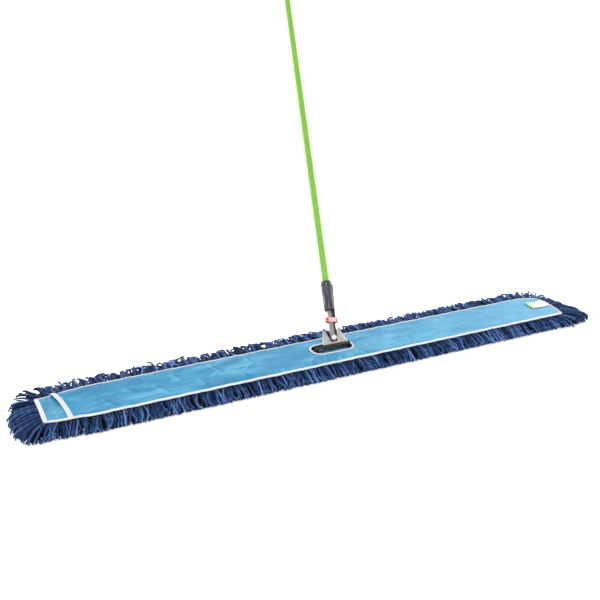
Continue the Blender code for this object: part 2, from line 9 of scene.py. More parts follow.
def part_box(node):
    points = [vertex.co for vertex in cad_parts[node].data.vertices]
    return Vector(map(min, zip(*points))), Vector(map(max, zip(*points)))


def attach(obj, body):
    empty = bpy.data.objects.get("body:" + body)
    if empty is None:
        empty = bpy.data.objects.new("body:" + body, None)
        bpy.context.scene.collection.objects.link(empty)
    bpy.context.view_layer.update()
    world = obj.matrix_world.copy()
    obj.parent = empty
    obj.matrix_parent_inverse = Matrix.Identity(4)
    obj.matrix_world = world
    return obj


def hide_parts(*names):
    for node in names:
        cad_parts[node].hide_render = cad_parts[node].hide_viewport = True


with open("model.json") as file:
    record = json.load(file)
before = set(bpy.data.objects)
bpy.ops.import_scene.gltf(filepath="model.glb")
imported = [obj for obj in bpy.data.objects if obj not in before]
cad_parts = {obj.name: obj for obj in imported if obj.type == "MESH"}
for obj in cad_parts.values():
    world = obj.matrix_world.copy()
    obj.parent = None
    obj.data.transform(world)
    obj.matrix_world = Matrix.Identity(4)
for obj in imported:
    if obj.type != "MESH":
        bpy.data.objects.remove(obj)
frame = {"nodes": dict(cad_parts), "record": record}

scene = bpy.context.scene
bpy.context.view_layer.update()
nodes = frame["nodes"]
scene.view_settings.view_transform = "Standard"
print("frame loaded:", len(nodes), "nodes")


class Value:
    # one output socket; sums and products of it add Math nodes to the same material
    def __init__(self, look, socket):
        self.look, self.socket = look, socket

    def math(self, operation, other=None, swapped=False):
        pair = [self] if other is None else [other, self] if swapped else [self, other]
        return self.look.node("Math", {"operation": operation}, dict(enumerate(pair)))

    def __add__(self, other): return self.math("ADD", other)
    def __radd__(self, other): return self.math("ADD", other, True)
    def __sub__(self, other): return self.math("SUBTRACT", other)
    def __rsub__(self, other): return self.math("SUBTRACT", other, True)
    def __mul__(self, other): return self.math("MULTIPLY", other)
    def __rmul__(self, other): return self.math("MULTIPLY", other, True)
    def __lt__(self, other): return self.math("LESS_THAN", other)
    def __abs__(self): return self.math("ABSOLUTE")
    def sine(self): return self.math("SINE")


class Look:
    # a material and its one Principled shader; constants go straight on the shader's sockets
    def __init__(self, name, **constants):
        self.material = bpy.data.materials.new(name)
        self.material.use_nodes = True
        self.tree = self.material.node_tree
        self.shader = self.tree.nodes["Principled BSDF"]
        for socket, value in constants.items():
            self.shader.inputs[socket.replace("_", " ")].default_value = value

    def node(self, kind, settings=None, inputs=None, output=0):
        made = self.tree.nodes.new("ShaderNode" + kind)
        for key, value in (settings or {}).items():
            if key == "stops":
                while len(made.color_ramp.elements) < len(value):
                    made.color_ramp.elements.new(0.5)
                for element, (place, colour) in zip(made.color_ramp.elements, value):
                    element.position, element.color = place, (*colour, 1.0)
            else:
                setattr(made, key, value)
        for key, value in (inputs or {}).items():
            if isinstance(value, Value):
                self.tree.links.new(value.socket, made.inputs[key])
            else:
                made.inputs[key].default_value = value
        return Value(self, made.outputs[output])

    def feed(self, socket, value):
        self.tree.links.new(value.socket, self.shader.inputs[socket])

    def place(self):
        return self.node("TexCoord", output="Object")

    def noise(self, scale, detail=2.0, roughness=0.5, where=None, stretch=None):
        where = where or self.place()
        if stretch:
            where = self.node("Mapping", inputs={"Vector": where, "Scale": stretch})
        sockets = {"Vector": where, "Scale": scale, "Detail": detail, "Roughness": roughness}
        return self.node("TexNoise", inputs=sockets)

    def mix(self, amount, first, second):
        sockets = {0: amount, 6: first, 7: second}
        return self.node("Mix", {"data_type": "RGBA"}, sockets, output=2)

    def axes(self, where=None):
        split = self.node("SeparateXYZ", inputs={0: where or self.place()})
        return [Value(self, out) for out in split.socket.node.outputs]

    def bump(self, height, strength, distance):
        sockets = {"Height": height, "Strength": strength, "Distance": distance}
        self.feed("Normal", self.node("Bump", inputs=sockets))


def colour(red, green, blue):
    # 0 to 255 screen values as the linear colour that the shader takes
    parts = [part / 255 for part in (red, green, blue)]
    linear = [part / 12.92 if part < 0.04045 else ((part + 0.055) / 1.055) ** 2.4 for part in parts]
    return (*linear, 1.0)


# the near-black deep colour is painted shade between and under the strands
yarnColours = {"deep": (0, 2, 10), "main": (38, 64, 110), "light": (108, 144, 204)}


def yarnLook():
    look = Look("navyYarn", Roughness=0.95, Sheen_Weight=0.05, Sheen_Roughness=0.5,
                Specular_IOR_Level=0.08)
    along = look.node("UVMap", {"uv_map": "yarnUv"})
    u, v, _ = look.axes(along)
    twist = (u * 420.0 + v * 12.566).sine() * 0.5 + 0.5
    fibre = look.noise(900.0, 2.0)
    # the tone attribute holds random tone together with painted shade and painted light
    tone = look.node("Attribute", {"attribute_name": "tone"}, output="Fac")
    light = tone * 0.7 + twist * 0.18 + fibre * 0.3 - 0.12
    stops = [(0.0, colour(*yarnColours["deep"])[:3]), (0.5, colour(*yarnColours["main"])[:3]),
             (1.0, colour(*yarnColours["light"])[:3])]
    look.feed("Base Color", look.node("ValToRGB", {"stops": stops}, {0: light}))
    look.bump(twist * 0.8 + fibre * 0.5, 0.7, 0.0008)
    return look.material


# the last colour is a painted sheen that pales the right end of the cloth
clothColours = {
    "main": (4, 134, 180), "light": (90, 176, 208),
    "shade": (0, 112, 162), "sheenPale": (106, 180, 212),
}


def clothLook():
    look = Look("skyCloth", Sheen_Weight=0.12, Sheen_Roughness=0.4, Specular_IOR_Level=0.25)
    x, y, _ = look.axes()
    warp = (x * 5200.0).sine() * 0.5 + 0.5
    weft = (y * 5200.0).sine() * 0.5 + 0.5
    weave = warp * weft
    patches = look.noise(9.0, 3.0, 0.6, stretch=(1.0, 3.0, 1.0))
    streaks = look.noise(60.0, 2.0, 0.5, stretch=(0.25, 1.0, 1.0))
    stops = [(0.25, colour(*clothColours["shade"])[:3]), (0.5, colour(*clothColours["main"])[:3]),
             (0.8, colour(*clothColours["light"])[:3])]
    # painted crease shading: darker on one flank of each crease, lighter on the other
    fold = look.node("Attribute", {"attribute_name": "fold"}, output="Fac")
    tone = patches * 1.25 + streaks * 0.35 + weave * 0.08 - 0.34 - fold * 0.75
    dyed = look.node("ValToRGB", {"stops": stops}, {0: tone})
    # painted sheen: the cloth is painted paler towards the right end
    look.feed("Base Color", look.mix(x * 0.42 + 0.27, dyed, colour(*clothColours["sheenPale"])))
    look.feed("Roughness", 0.62 - patches * 0.25)
    look.bump(weave * 0.6 + streaks * 0.6, 0.35, 0.0005)
    return look.material


def tapeLook(name, tint=(232, 234, 238)):
    look = Look(name, Roughness=0.7, Sheen_Weight=0.15, Specular_IOR_Level=0.25)
    x, y, _ = look.axes()
    ribs = ((x + y) * 3600.0).sine() * 0.5 + 0.5
    cross = ((x - y) * 3600.0).sine() * 0.5 + 0.5
    dust = look.noise(70.0, 3.0, 0.6)
    shade = tuple(v * 0.84 for v in tint)
    amount = ribs * 0.25 + cross * 0.15 + dust * 0.5 - 0.05
    look.feed("Base Color", look.mix(amount, colour(*tint), colour(*shade)))
    look.bump(ribs * 0.6 + cross * 0.4, 0.4, 0.0003)
    return look.material


def labelLook():
    # white satin with a lime strip along its left edge
    look = Look("labelSatin", Roughness=0.45, Sheen_Weight=0.1, Specular_IOR_Level=0.4)
    x, y, _ = look.axes()
    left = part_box("care_label")[0].x
    strip = (x - y * 0.05) < left + 0.0135
    crinkle = look.noise(55.0, 3.0, 0.55)
    white = look.mix(crinkle * 0.6, colour(246, 245, 247), colour(214, 213, 217))
    look.feed("Base Color", look.mix(strip, white, colour(176, 226, 112)))
    look.bump(crinkle + (x * 5000.0).sine() * 0.08, 0.35, 0.0006)
    return look.material


def steelLook(name, tint, roughness, grain, metallic=0.85):
    look = Look(name, Metallic=metallic, Specular_IOR_Level=0.5)
    brushed = look.noise(500.0, 2.0, 0.5, stretch=grain)
    cloudy = look.noise(45.0, 3.0, 0.6)
    shade = tuple(v * 0.78 for v in tint)
    look.feed("Base Color", look.mix(brushed * 0.35 + cloudy * 0.5, colour(*tint), colour(*shade)))
    look.feed("Roughness", brushed * 0.18 + cloudy * 0.12 + (roughness - 0.15))
    look.bump(brushed, 0.25, 0.0002)
    return look.material


def plasticLook(name, tint, roughness, grainScale, grainDepth, coat=0.0):
    look = Look(name, Coat_Weight=coat, Coat_Roughness=0.12, Specular_IOR_Level=0.5)
    grain = look.noise(grainScale, 2.0, 0.55)
    cloudy = look.noise(28.0, 3.0, 0.6)
    shade = tuple(v * 0.82 for v in tint)
    look.feed("Base Color", look.mix(cloudy * 0.7, colour(*tint), colour(*shade)))
    look.feed("Roughness", cloudy * 0.16 + grain * 0.08 + (roughness - 0.12))
    look.bump(grain, 0.3, grainDepth)
    return look.material


looks = {
    "yarn": yarnLook(),
    "cloth": clothLook(),
    "tape": tapeLook("whiteTape"),
    "thread": tapeLook("whiteThread", (246, 247, 250)),
    "label": labelLook(),
    "plate": steelLook("platedSteel", (222, 217, 212), 0.42, (1.0, 1.0, 0.1)),
    "stem": steelLook("stemSteel", (182, 181, 180), 0.40, (1.0, 1.0, 0.1)),
    # painted highlight: the pin is near-white and hardly metallic, so its colour stands in for a polished
    # pin's bright highlight
    "pin": steelLook("highlightWhitePin", (254, 254, 254), 0.3, (1.0, 1.0, 1.0), 0.1),
    "bright": steelLook("zincSteel", (236, 236, 238), 0.3, (1.0, 1.0, 1.0)),
    "black": plasticLook("blackEnamel", (26, 25, 27), 0.4, 700.0, 0.0002, 0.25),
    "charcoal": plasticLook("charcoalPlastic", (46, 50, 64), 0.34, 900.0, 0.0001, 0.5),
    "lime": plasticLook("limePaint", (136, 194, 76), 0.18, 420.0, 0.00005, 1.0),
}
print("materials made:", len(looks))


def settle(piece, name, material, body, replaced):
    # name a finished mesh and give it its finish, its body and the CAD nodes that it stands for
    piece.name = piece.data.name = name
    if material:
        piece.data.materials.clear()
        piece.data.materials.append(material)
    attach(piece, body)
    if replaced:
        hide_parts(*replaced)
    print("made", name, len(piece.data.polygons), "faces")
    return piece


def addMesh(name, points, faces):
    mesh = bpy.data.meshes.new(name)
    mesh.from_pydata(np.asarray(points).reshape(-1, 3).tolist(), [], faces)
    piece = bpy.data.objects.new(name, mesh)
    scene.collection.objects.link(piece)
    return piece


def makeActive(piece):
    # the next operators act on this piece alone
    bpy.ops.object.select_all(action="DESELECT")
    piece.select_set(True)
    bpy.context.view_layer.objects.active = piece


def applyAll(piece):
    makeActive(piece)
    for modifier in list(piece.modifiers):
        bpy.ops.object.modifier_apply(modifier=modifier.name)


def smoothStep(value, low, high):
    t = np.clip((value - low) / (high - low), 0.0, 1.0)
    return t * t * (3 - 2 * t)


def clothSheet(name, columns, rows, place, thickness, keep=None, closed=False):
    # a sheet whose grid lies where place(u, v) says; keep(points) picks the faces that stay, and a
    # closed sheet's last column is its first
    u, v = np.meshgrid(np.linspace(0, 1, columns + 1), np.linspace(0, 1, rows + 1))
    points = np.stack(place(u, v), axis=-1).reshape(-1, 3)
    column = np.arange(columns)
    after = (column + 1) % columns if closed else column + 1
    row = np.arange(rows)[:, None] * (columns + 1)
    above = row + columns + 1
    faces = np.stack([row + column, row + after, above + after, above + column], axis=-1).reshape(-1, 4)
    if keep is not None:
        faces = faces[keep(points[faces].mean(axis=1))]
    used, faces = np.unique(faces, return_inverse=True)
    piece = addMesh(name, points[used], faces.reshape(-1, 4).tolist())
    wall = piece.modifiers.new("wall", "SOLIDIFY")
    wall.thickness = thickness
    wall.offset = 0
    applyAll(piece)
    piece.data.shade_smooth()
    return piece


def boxOf(node):
    low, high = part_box(node)
    return np.array(low), np.array(high)


panelLow, panelHigh = boxOf("top_panel")
baseLow, baseHigh = boxOf("base_cloth")
slotLow, slotHigh = boxOf("slot_binding")
labelLow, labelHigh = boxOf("care_label")
pocketLow, pocketHigh = boxOf("pocket_binding")
endTapeLow, endTapeHigh = boxOf("binding_right_end")
frontFringeLow, frontFringeHigh = boxOf("yarn_fringe_front")
backFringeLow, backFringeHigh = boxOf("yarn_fringe_back")
leftFringeLow, leftFringeHigh = boxOf("yarn_fringe_left")
# the head's half length and half width, and how far the yarn reaches past them
endX, headHalf = baseHigh[0], baseHigh[1]
endHalf = endTapeHigh[1] - 0.0045
taperX = frontFringeHigh[0] - 0.03
frontReach = -headHalf - frontFringeLow[1]
backReach = backFringeHigh[1] - headHalf
endReach = -endX - leftFringeLow[0]
clothZ = panelHigh[2] - 0.0006
baseZ = baseHigh[2] - 0.0008
tapeWidth = pocketHigh[0] - pocketLow[0]


def halfAt(x):
    # half the head's width at x: only the left end tapers
    past = np.clip((-x - taperX) / (endX - taperX), 0.0, 1.0)
    return headHalf + (endHalf - headHalf) * past


# the right end is cut in a curve, round at the back and nearly square at the front
rightEnd = np.array([(-0.0730, 0.746), (-0.0400, 0.7545), (0.0100, 0.7605), (0.0350, 0.7575),
                     (0.0530, 0.7460), (0.0640, 0.7270), (0.0700, 0.7080), (0.0730, 0.6900)])


def endAt(y):
    return np.interp(y, rightEnd[:, 0], rightEnd[:, 1])


def mouthAt(y):
    # the pocket's mouth runs askew and bows
    t = (y / headHalf + 1) / 2
    return pocketLow[0] - 0.003 - 0.0215 * t * t


yarnSettings = {
    "radius": 0.0021, "radiusSpread": 0.0004, "sides": 5, "rings": 8,
    "pitch": 0.0058, "rows": 6,
    "clumpWidth": 0.0092, "gather": 0.46, "seed": 11,
    "crest": 0.0345, "start": 0.0315, "foot": 0.0030,      # heights of a strand of the top row
    "cornerSweep": 0.026,
}
# sideways drift of the front yarn at places along the head
leanStations = ([-0.76, -0.58, -0.25, 0.5, 0.76], [-0.006, -0.002, 0.008, 0.013, 0.016])


def lengthsAlong(path):
    # the distance from the path's start to each of its points
    return np.concatenate([[0], np.cumsum(np.linalg.norm(np.diff(path, axis=0), axis=1))])


def yarnPiece(name, paths, around, radii, tonesAndShading, sides):
    # closed tubes along paths (strands, rings, 3); around is each strand's sideways direction
    count, rings, _ = paths.shape
    along = np.gradient(paths, axis=1)
    along /= np.linalg.norm(along, axis=2, keepdims=True)
    first = around[:, None, :] - along * (around[:, None, :] * along).sum(axis=2, keepdims=True)
    first /= np.linalg.norm(first, axis=2, keepdims=True)
    second = np.cross(along, first)
    turn = np.arange(sides) * 2 * math.pi / sides
    wide = first[:, :, None, :] * np.cos(turn)[:, None] + second[:, :, None, :] * np.sin(turn)[:, None]
    points = paths[:, :, None, :] + wide * radii[:, :, None, None]
    corner = np.arange(count * rings * sides).reshape(count, rings, sides)
    after = np.roll(corner, -1, axis=2)
    quads = np.stack([corner[:, :-1], after[:, :-1], after[:, 1:], corner[:, 1:]], axis=-1).reshape(-1, 4)
    caps = np.concatenate([corner[:, 0, ::-1], corner[:, -1, :]])
    piece = addMesh(name, points, quads.tolist() + caps.tolist())
    steps = np.linalg.norm(np.diff(paths, axis=1), axis=2)
    length = np.concatenate([np.zeros((count, 1)), np.cumsum(steps, axis=1)], axis=1)
    lengthUv = np.broadcast_to(length[:, :, None], (count, rings, sides))
    turnUv = np.broadcast_to(np.arange(sides) / sides, (count, rings, sides))
    nextUv = turnUv + 1 / sides
    u = np.stack([lengthUv[:, :-1], lengthUv[:, :-1], lengthUv[:, 1:], lengthUv[:, 1:]], axis=-1)
    v = np.stack([turnUv[:, :-1], nextUv[:, :-1], nextUv[:, 1:], turnUv[:, 1:]], axis=-1)
    capU = np.repeat(np.concatenate([length[:, 0], length[:, -1]]), sides)
    capV = np.tile(np.arange(sides) / sides, 2 * count)
    uv = np.stack([np.concatenate([u.ravel(), capU]), np.concatenate([v.ravel(), capV])], axis=-1)
    piece.data.uv_layers.new(name="yarnUv").data.foreach_set("uv", uv.ravel())
    tone = piece.data.attributes.new("tone", "FLOAT", "POINT")
    tone.data.foreach_set("value", np.repeat(tonesAndShading.ravel(), sides))
    piece.data.shade_smooth()
    return piece


def perimeter():
    # points round the head's edge from the middle of the front, clockwise from above, with the
    # outward angle of the yarn there, which turns gently round the corners
    corners = [(0, -headHalf), (-taperX, -headHalf), (-endX, -endHalf), (-endX, endHalf)]
    corners += [(-taperX, headHalf)] + [(x, y) for y, x in reversed(rightEnd)] + [(0, -headHalf)]
    corners = np.array(corners, float)
    lengths = lengthsAlong(corners)
    s = np.linspace(0, lengths[-1], 2400)
    points = np.stack([np.interp(s, lengths, corners[:, i]) for i in (0, 1)], axis=-1)
    ahead = np.gradient(points, axis=0)
    angle = np.unwrap(np.arctan2(ahead[:, 0], -ahead[:, 1]))
    reach = np.arange(-60, 61)
    weights = np.exp(-(reach / 26.0) ** 2)
    padded = np.concatenate([np.full(60, angle[0]), angle, np.full(60, angle[-1])])
    return s, points, np.convolve(padded, weights / weights.sum(), "valid")


def fringeStrands(random):
    # one row of strands round the whole head: their places, roots and outward directions, how
    # much each belongs to the front, the back and the ends, and the row's length
    s, points, angle = perimeter()
    outward = np.stack([np.cos(angle), np.sin(angle)], axis=-1)
    middle = points + outward * 0.03
    steps = [np.linalg.norm(np.diff(line, axis=0), axis=1) for line in (middle, points)]
    # the strands stand closer together at the back
    spread = (steps[0] + steps[1]) / 2 * (1 + 0.5 * np.clip(outward[1:, 1], 0, 1) ** 2)
    spread = np.concatenate([[0], np.cumsum(spread)])
    count = int(spread[-1] / yarnSettings["pitch"])
    place = (np.arange(count) + random.uniform(0.2, 0.8, count)) * spread[-1] / count
    pick = lambda values: np.interp(place, spread, values)
    root = np.stack([pick(points[:, 0]), pick(points[:, 1])], axis=-1)
    angle = pick(angle)
    out = np.stack([np.cos(angle), np.sin(angle)], axis=-1)
    front, back = np.clip(-out[:, 1], 0, 1) ** 2, np.clip(out[:, 1], 0, 1) ** 2
    return place, root, out, front, back, 1 - front - back, spread[-1]


def makeYarn():
    # rows of strands that gather in clumps; each clump has its own lean, bend, lift and tone
    random = np.random.default_rng(yarnSettings["seed"])
    rings, sides = yarnSettings["rings"], yarnSettings["sides"]
    total = fringeStrands(random)[-1]
    edges = np.cumsum(random.uniform(0.6, 1.5, 900)) * yarnSettings["clumpWidth"]
    edges = np.concatenate([[0], edges[edges < total], [total]])
    clumpLean = random.normal(0, 0.0046, len(edges))
    clumpTone = random.normal(0, 0.07, len(edges))
    clumpBend = random.normal(0, 0.0048, len(edges))
    clumpLift = random.uniform(0.0, 0.0045, len(edges))
    found = {"front": [], "back": [], "left": [], "right": []}
    rows = yarnSettings["rows"]
    t = np.linspace(0, 1, rings)
    for row in range(rows):
        place, root, out, front, back, end, _ = fringeStrands(random)
        count = len(place)
        depth = row / (rows - 1)       # 0 on top, 1 next to the floor
        clump = np.clip(np.searchsorted(edges, place) - 1, 0, len(edges) - 2)
        centre = (edges[clump] + edges[clump + 1]) / 2
        # the lower rows stay evenly spread, so that no floor shows through the clumps
        loose = 1 - 0.85 * depth
        toCentre = (centre - place) * yarnSettings["gather"] * (1 - 0.8 * back) * loose
        # outward and upward stations of a strand, for the front, the back and the ends
        endShare = end * endReach * (1.03 + 0.15 * np.sign(root[:, 0]))
        reach = front * frontReach * 0.92 + back * backReach + endShare
        # the strands at the right front corner sweep on past the end
        sweep = smoothStep(root[:, 0], 0.69, 0.755) * smoothStep(-root[:, 1], -0.02, 0.06)
        reach = reach + yarnSettings["cornerSweep"] * sweep
        out = out + np.stack([0.75 * sweep, np.zeros(count)], axis=-1)
        out = out / np.linalg.norm(out, axis=1, keepdims=True)
        side = np.stack([-out[:, 1], out[:, 0]], axis=-1)
        reach = reach * (1 - 0.20 * depth) * random.uniform(0.82, 1.06, count)
        foot = yarnSettings["foot"] + 0.003 * (1 - depth) * random.random(count)
        start = yarnSettings["start"] - 0.015 * depth
        crest = yarnSettings["crest"] + 0.0035 * end - 0.0015 * back - 0.019 * depth
        crest = crest + random.normal(0, 0.0012, count)
        power = 0.75 + 0.35 * (1 - front[:, None])
        o = reach[:, None] * np.sin(t * math.pi / 2) ** power
        fall = t[None, :] ** (1.25 * front + 2.2 * back + 1.7 * end)[:, None]
        z = crest[:, None] - (crest - foot)[:, None] * fall
        # the upper strands at the back stand up in tufts, and the lower ones lie to the floor
        lofted = (clumpLift[clump] + random.exponential(0.0018, count).clip(0, 0.007)) * (1 - 1.1 * depth)
        upright = crest[:, None] + lofted[:, None] * np.sin(t * 2.3) / 0.9 - 0.010 * depth * t
        stand = np.clip(back * 1.5, 0, 1)[:, None] * np.clip(2.6 - 2.7 * depth, 0, 1)
        z = z * (1 - stand) + upright * stand
        z = z - (crest - start)[:, None] * (1 - smoothStep(t, 0.0, 0.22))
        swing = random.normal(0, 0.0026, (count, 1)) * (1 + 0.8 * back[:, None])
        wave = swing * np.sin(t * math.pi * 2.2 + random.uniform(0, 6, (count, 1))) * t ** 0.5
        bend = clumpBend[clump][:, None] * np.sin(t * math.pi) * loose
        x = root[:, 0]
        drift = np.interp(x, leanStations[0], leanStations[1]) * front
        lean = clumpLean[clump] * loose + drift + random.normal(0, 0.0028, count) * (1 + 1.5 * back)
        across = (toCentre + lean)[:, None] * t ** 1.4 + bend + wave
        z = z + random.normal(0, 0.0008, (count, 1)) * np.sin(t * 5.0)
        o = o - 0.010 * (1 - t) ** 2
        radius = yarnSettings["radius"] + random.uniform(-1, 1, count) * yarnSettings["radiusSpread"]
        radius = radius * (1 + 0.22 * back)
        z = np.maximum(z, radius[:, None] + 0.0002)
        paths = np.empty((count, rings, 3))
        paths[:, :, 0] = root[:, None, 0] + out[:, None, 0] * o + side[:, None, 0] * across
        paths[:, :, 1] = root[:, None, 1] + out[:, None, 1] * o + side[:, None, 1] * across
        paths[:, :, 2] = z
        taper = np.ones(rings)
        taper[-1] = 0.7
        radii = radius[:, None] * taper
        edgeOff = np.abs(centre - place) / (edges[clump + 1] - edges[clump])
        # painted shade darkens the lower rows, the edges of each clump and the roots, and painted light
        # brightens the tips; the rest is random tone
        tone = 0.74 + clumpTone[clump] + random.normal(0, 0.22, count) - 1.25 * depth - 1.6 * edgeOff ** 2
        tonesAndShading = tone[:, None] + 0.16 * (t - 0.5) - 0.22 * (1 - smoothStep(t, 0, 0.22))
        around = np.concatenate([side, np.zeros((count, 1))], axis=1)
        groups = {"front": out[:, 1] < -0.75, "back": out[:, 1] > 0.75}
        groups["left"] = ~groups["front"] & ~groups["back"] & (x < 0)
        groups["right"] = ~groups["front"] & ~groups["back"] & (x > 0)
        for name, chosen in groups.items():
            found[name].append((paths[chosen], around[chosen], radii[chosen], tonesAndShading[chosen]))
    made = []
    for name, parts in found.items():
        joined = [np.concatenate(column) for column in zip(*parts)]
        piece = yarnPiece("fringe" + name.capitalize(), *joined, sides)
        made.append(settle(piece, "fringe" + name.capitalize(), looks["yarn"], "mop_head",
                           ["yarn_fringe_" + name]))
    return made


def makeUnderYarn():
    # the rows of yarn that hang under the cloth and rest on the floor
    random = np.random.default_rng(yarnSettings["seed"] + 1)
    rings, sides = 6, 5
    t = np.linspace(0, 1, rings)
    parts = []
    for y in np.linspace(-headHalf + 0.008, headHalf - 0.008, 11):
        count = int(2 * (endX - 0.006) / 0.0062)
        x = np.linspace(-endX + 0.006, endX - 0.006, count) + random.normal(0, 0.001, count)
        inside = abs(y) < halfAt(x) - 0.004
        x, count = x[inside], int(inside.sum())
        way = np.sign(y + 1e-6) * np.ones(count)
        slant = 0.006 * np.sin(x * 37.0 + y * 90.0) + random.normal(0, 0.003, count)
        reach = random.uniform(0.015, 0.024, count)
        paths = np.empty((count, rings, 3))
        paths[:, :, 0] = x[:, None] + slant[:, None] * t
        paths[:, :, 1] = y + way[:, None] * reach[:, None] * t ** 1.2
        drop = (0.0262 - 0.0032 - random.uniform(0, 0.003, count))[:, None]
        paths[:, :, 2] = 0.0262 - drop * np.sin(t * math.pi / 2)
        around = np.tile([1.0, 0.0, 0.0], (count, 1))
        radii = np.full((count, rings), 0.0030) * random.uniform(0.85, 1.0, (count, 1))
        # painted shade: the yarn under the cloth is darker, and lighter towards its outer ends
        tonesAndShading = 0.3 + random.normal(0, 0.08, (count, 1)) + 0.15 * t
        parts.append((paths, around, radii, tonesAndShading))
    joined = [np.concatenate(column) for column in zip(*parts)]
    piece = yarnPiece("underYarn", *joined, sides)
    return settle(piece, "underYarn", looks["yarn"], "mop_head", ["yarn_pad"])


fringes = makeYarn()
underYarn = makeUnderYarn()


clothSettings = {"thickness": 0.0010, "creaseHeight": 0.0032, "creaseWidth": 0.0060}

# each crease runs from one point to another, with a height and a width; the first eight pull
# away from the slot
creases = [(-0.045, -0.022, -0.088, -0.060, 1.0, 1.0), (-0.026, -0.030, -0.036, -0.070, 0.9, 0.8),
           (-0.010, -0.033, -0.016, -0.068, 0.8, 0.8), (0.012, -0.034, 0.006, -0.070, 1.0, 0.9),
           (0.040, -0.030, 0.045, -0.068, 0.8, 0.9), (0.066, -0.016, 0.084, -0.070, 1.2, 0.9),
           (-0.058, 0.010, -0.105, 0.030, 0.8, 1.2), (0.080, 0.020, 0.125, 0.034, 0.8, 1.2),
           (-0.162, -0.020, -0.154, -0.066, 0.9, 1.0), (-0.228, 0.055, -0.214, 0.014, 0.9, 1.1),
           (-0.214, 0.014, -0.252, -0.022, 0.7, 1.0), (-0.265, -0.026, -0.256, -0.060, 0.9, 1.0),
           (-0.323, 0.052, -0.307, 0.006, 1.1, 1.2), (-0.307, 0.006, -0.340, -0.020, 0.8, 1.0),
           (-0.372, -0.004, -0.362, -0.056, 1.0, 1.2), (-0.430, 0.050, -0.415, 0.000, 0.9, 1.2),
           (-0.485, 0.010, -0.462, -0.050, 0.9, 1.3), (-0.560, 0.045, -0.540, -0.010, 0.8, 1.3),
           (-0.615, -0.010, -0.590, -0.058, 0.8, 1.2), (0.190, 0.045, 0.215, -0.010, 0.8, 1.3),
           (0.240, 0.000, 0.225, -0.055, 0.7, 1.2), (0.330, 0.050, 0.350, -0.010, 0.8, 1.4),
           (0.410, 0.010, 0.440, -0.050, 0.8, 1.3), (0.520, 0.045, 0.545, -0.020, 0.8, 1.4),
           (0.640, 0.000, 0.620, -0.050, 0.7, 1.3)]


def waves(x, y):
    # shallow rise and fall of a cloth that lies slack over its frame
    low = np.sin(x * 11.0 + 1.1) * np.cos(y * 28.0 + x * 4.0) + 0.7 * np.sin(x * 23.0 - y * 19.0 + 0.4)
    fine = np.sin(x * 61.0 + y * 47.0) * np.sin(x * 17.0 - y * 71.0 + 2.0)
    return 0.0011 * low + 0.0007 * fine


def creaseHeight(x, y):
    rise = np.zeros_like(x)
    for startX, startY, stopX, stopY, height, width in creases:
        run = np.array([stopX - startX, stopY - startY])
        length = np.hypot(*run)
        run = run / length
        along = (x - startX) * run[0] + (y - startY) * run[1]
        off = -(x - startX) * run[1] + (y - startY) * run[0] + 0.004 * np.sin(along * 60.0)
        ends = smoothStep(along, -0.010, 0.018) * (1 - smoothStep(along, length - 0.018, length + 0.010))
        span = clothSettings["creaseWidth"] * width
        rise += clothSettings["creaseHeight"] * height * ends * np.exp(-np.abs(off / span) ** 1.3)
    return rise


slotCentre = (slotHigh[:2] + slotLow[:2]) / 2
slotHalf = (slotHigh[:2] - slotLow[:2]) / 2 - tapeWidth / 2
slotCorner = 0.0245


def slotAway(x, y):
    # the direction away from the slot's rounded rectangle
    offX, offY = x - slotCentre[0], y - slotCentre[1]
    pastX = np.maximum(np.abs(offX) - (slotHalf[0] - slotCorner), 0.0) * np.sign(offX)
    pastY = np.maximum(np.abs(offY) - (slotHalf[1] - slotCorner), 0.0) * np.sign(offY)
    length = np.hypot(pastX, pastY) + 1e-9
    return pastX / length, pastY / length


def slotDistance(x, y):
    offX = np.abs(x - slotCentre[0]) - (slotHalf[0] - slotCorner)
    offY = np.abs(y - slotCentre[1]) - (slotHalf[1] - slotCorner)
    outside = np.hypot(np.maximum(offX, 0), np.maximum(offY, 0))
    return outside + np.minimum(np.maximum(offX, offY), 0.0) - slotCorner


def panelZ(x, y):
    # the height of the top panel's cloth
    inward = np.minimum(halfAt(x) - np.abs(y), endAt(y) - x)
    calm = smoothStep(inward, 0.004, 0.022) * smoothStep(slotDistance(x, y), 0.0, 0.016)
    z = clothZ + (waves(x, y) + creaseHeight(x, y)) * calm
    return z - 0.0016 * (1 - smoothStep(inward, 0.0, 0.010))


def makeTopPanel():
    def place(u, v):
        y = (2 * v - 1) * (headHalf - 0.0008)
        start, stop = mouthAt(y), endAt(y) - 0.0008
        x = start + (stop - start) * u
        y = y * halfAt(x) / headHalf
        # the grid's points near the slot move onto its edge
        near = slotDistance(x, y)
        push = np.where(np.abs(near) < 0.0034, -near, 0.0)
        awayX, awayY = slotAway(x, y)
        x, y = x + push * awayX, y + push * awayY
        gape = 0.0040 * (1 - smoothStep(x, mouthAt(y), mouthAt(y) + 0.05)) * smoothStep(y, -0.05, 0.04)
        return x, y, panelZ(x, y) + gape * (1 - smoothStep(y, 0.05, 0.073))
    keep = lambda centre: slotDistance(centre[:, 0], centre[:, 1]) > 0
    piece = clothSheet("topPanel", 320, 44, place, clothSettings["thickness"], keep)
    # painted shade lies along one flank of each crease, and painted light along the other
    points = np.empty(len(piece.data.vertices) * 3)
    piece.data.vertices.foreach_get("co", points)
    x, y, _ = points.reshape(-1, 3).T
    flank = (creaseHeight(x, y) - creaseHeight(x + 0.0035, y + 0.0015)) / clothSettings["creaseHeight"]
    piece.data.attributes.new("fold", "FLOAT", "POINT").data.foreach_set("value", flank)
    return settle(piece, "topPanel", looks["cloth"], "mop_head", ["top_panel"])


